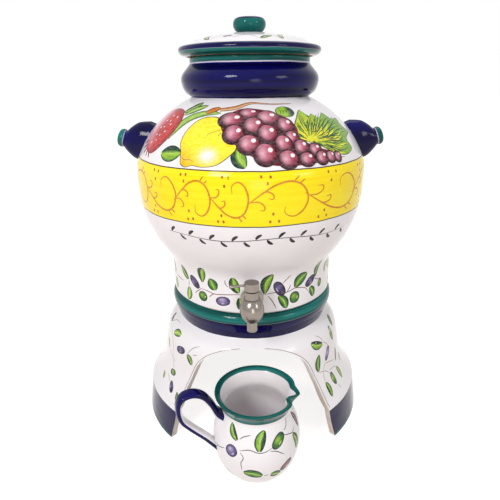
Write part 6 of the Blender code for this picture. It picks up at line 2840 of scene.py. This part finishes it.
    def build(self, effects: Effects) -> None:
        """Builds the jug with its painted outside and pulled lip, and its handle.

        Args:
            effects: The groups that the finishes share.
        """
        outer = BandedGlaze("jug_glaze", Pigment.TIN_WHITE, Pigment.INNER_WHITE, (
            Band(self.outer_band, NO_END, Pigment.TEAL, Pigment.SEA, 0.6),))
        inner = BandedGlaze("jug_inside", Pigment.INNER_WHITE, Pigment.LILAC, (
            Band(self.inner_band, NO_END, Pigment.TEAL, Pigment.SEA, 0.6),))
        finishes = [outer.build(effects), inner.build(effects),
                    BareClay("jug_foot_clay").build(effects)]
        strap_finishes = [
            BandedGlaze("handle_cobalt", Pigment.NAVY, Pigment.COBALT, (), 0.7).build(effects),
            BandedGlaze("handle_white", Pigment.TIN_WHITE, Pigment.LILAC).build(effects),
        ]
        outline = joined_outline(self.runs(), self.step, self.soft)
        jug = turned("jug_body", outline, self.sides, finishes, Matrix.Identity(4))
        flat = np.array([v.co for v in jug.data.vertices]) / MM
        placed = (self.pulled(flat) + np.array([*self.axis, 0.0])) * MM
        jug.data.vertices.foreach_set("co", placed.astype(np.float32).ravel())
        face_outward(jug)
        settle(jug, Body.JUG, Slot.WHITE, "jug")
        handle = lofted("jug_strap", self.handle_rings(), strap_finishes, self.strap_skin)
        settle(handle, Body.JUG, Slot.COBALT, "jug_handle")

    def strap_skin(self, row: int, column: int) -> int:
        """White on the face towards the jug, and cobalt elsewhere."""
        return 1 if column in range(*self.white_columns) else 0

    def decorate(self, marks: bpy.types.Material) -> None:
        """Paints the sprigs, in front and behind, clear of the handle.

        Args:
            marks: The finish of the painted marks.
        """
        painting = Painting(Wall(self.axis, [Run(self.outside())], self.step), seed=41)
        JUG_SPRIG.paint(painting, self.sprig_turns)
        JUG_LOW_SPRIG.paint(painting)
        painting.piece("jug_sprigs", marks, Body.JUG)


# Studio


def seen_directly(sockets: Sockets) -> bpy.types.NodeSocket:
    """Tells rays from the camera, off a mirror or through glass from the others.

    Args:
        sockets: The tree of the surface or the world.

    Returns:
        One for such a ray, and zero for the others.
    """
    path = sockets.add("LightPath").outputs
    bent = sockets.maths("MAXIMUM", path["Is Glossy Ray"], path["Is Transmission Ray"])
    return sockets.maths("MAXIMUM", path["Is Camera Ray"], bent)


@dataclass
class Studio:
    """The pale floor, the soft lamps and the camera."""

    distance: float = 560.0
    eye_height: float = 425.04
    pitch: float = 20.47
    roll: float = -0.519
    lens: float = 32.33
    shift: float = -0.00287
    sensor: float = 36.0
    clip: Point = (0.01, 50.0)
    aim: Spot = (0.0, 0.0, 0.25)
    white: Colour = (1.0, 1.0, 1.0)
    surround_glow: float = 0.5
    floor_glow: float = 0.82
    floor_colour: Colour = (0.6, 0.54, 0.49)
    floor_roughness: float = 0.9
    floor_reach: float = 12.0
    lamps: tuple[tuple[str, Spot, float, float], ...] = (
        ("key_lamp", (-0.8, -1.3, 1.2), 0.45, 16.0),
        ("fill_lamp", (1.3, -1.0, 0.9), 0.4, 4.0),
        ("top_lamp", (0.2, 0.5, 1.9), 0.8, 4.0),
        ("low_lamp", (0.25, -1.7, 0.3), 0.5, 3.0),
    )

    def add_camera(self) -> None:
        """Sets the camera where the photograph was taken from."""
        data = bpy.data.cameras.new("photo_camera")
        data.lens = self.lens
        data.sensor_width = self.sensor
        data.shift_x = self.shift
        data.clip_start, data.clip_end = self.clip
        camera = bpy.data.objects.new("photo_camera", data)
        bpy.context.scene.collection.objects.link(camera)
        camera.matrix_world = (
            Matrix.Translation(Vector((0, AXIS_Y - self.distance, self.eye_height)) * MM)
            @ Matrix.Rotation(math.radians(90 - self.pitch), 4, "X")
            @ Matrix.Rotation(math.radians(self.roll), 4, "Z")
        )
        bpy.context.scene.camera = camera

    def add_lamp(self, name: str, place: Spot, size: float, power: float) -> None:
        """Adds a soft square lamp that points at the jar.

        Args:
            name: The lamp's name.
            place: Where it hangs, in metres.
            size: The length of its side, in metres.
            power: Its power, in watts.
        """
        data = bpy.data.lights.new(name, "AREA")
        data.shape = "SQUARE"
        data.size = size
        data.energy = power
        lamp = bpy.data.objects.new(name, data)
        bpy.context.scene.collection.objects.link(lamp)
        lamp.location = place
        way = Vector(self.aim) - Vector(place)
        lamp.rotation_euler = way.to_track_quat("-Z", "Y").to_euler()

    def add_world(self) -> None:
        """A white surround to the eye and to mirrors, and a softer one as light."""
        world = bpy.data.worlds.new("studio")
        bpy.context.scene.world = world
        world.use_nodes = True
        sockets = Sockets(world.node_tree)
        seen = seen_directly(sockets)
        glow = sockets.add("Background", {"Color": self.white, "Strength": self.surround_glow})
        full = sockets.add("Background", {"Color": self.white, "Strength": 1.0})
        mix = sockets.add("MixShader", {0: seen, 1: glow.outputs[0], 2: full.outputs[0]})
        sockets.add("OutputWorld", {"Surface": mix.outputs[0]})

    def add_floor(self) -> None:
        """A wide pale floor that keeps the shadow."""
        material, sockets, shader = new_finish("pale_floor")
        shader.inputs["Base Color"].default_value = (*self.floor_colour, 1)
        shader.inputs["Roughness"].default_value = self.floor_roughness
        strength = sockets.maths("MULTIPLY", seen_directly(sockets), self.floor_glow)
        glow = sockets.add("Emission", {"Color": self.white, "Strength": strength})
        both = sockets.add("AddShader", {0: shader.outputs[0], 1: glow.outputs[0]})
        output = next(n for n in sockets.tree.nodes if n.type == "OUTPUT_MATERIAL")
        sockets.feed(output, "Surface", both.outputs[0])
        reach = self.floor_reach
        corner_places = ((-reach, -reach, 0), (reach, -reach, 0), (reach, reach, 0),
                         (-reach, reach, 0))
        floor = add_mesh("pale_floor", np.array(corner_places), [(0, 1, 2, 3)], [material])

    def build(self) -> None:
        """Sets up the whole studio."""
        bpy.context.scene.view_settings.view_transform = "Standard"
        self.add_camera()
        self.add_world()
        self.add_floor()
        for lamp in self.lamps:
            self.add_lamp(*lamp)


def dress(names: Sequence[str], finish: bpy.types.Material) -> None:
    """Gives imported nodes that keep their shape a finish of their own.

    Args:
        names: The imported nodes.
        finish: What they wear.
    """
    for name in names:
        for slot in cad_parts[name].material_slots:
            slot.material = finish
        log.info("%s keeps its shape and wears %s", name, finish.name)


def main() -> None:
    """Builds the set, piece by piece."""
    logging.basicConfig(level=logging.INFO, format="%(name)s: %(message)s")
    effects = Effects(BrushWork().build(), GlazeSkin().build())
    Studio().build()
    marks = PaintedMarks().build(effects)
    stand = Stand()
    stand.build(effects)
    stand.decorate(marks)
    jar = Jar()
    jar.build(effects)
    jar.decorate(marks)
    lid = Lid()
    lid.build(effects)
    lid.decorate(marks)
    Tap().build(effects)
    jug = Jug()
    jug.build(effects)
    jug.decorate(marks)


if __name__ == "__main__":
    main()
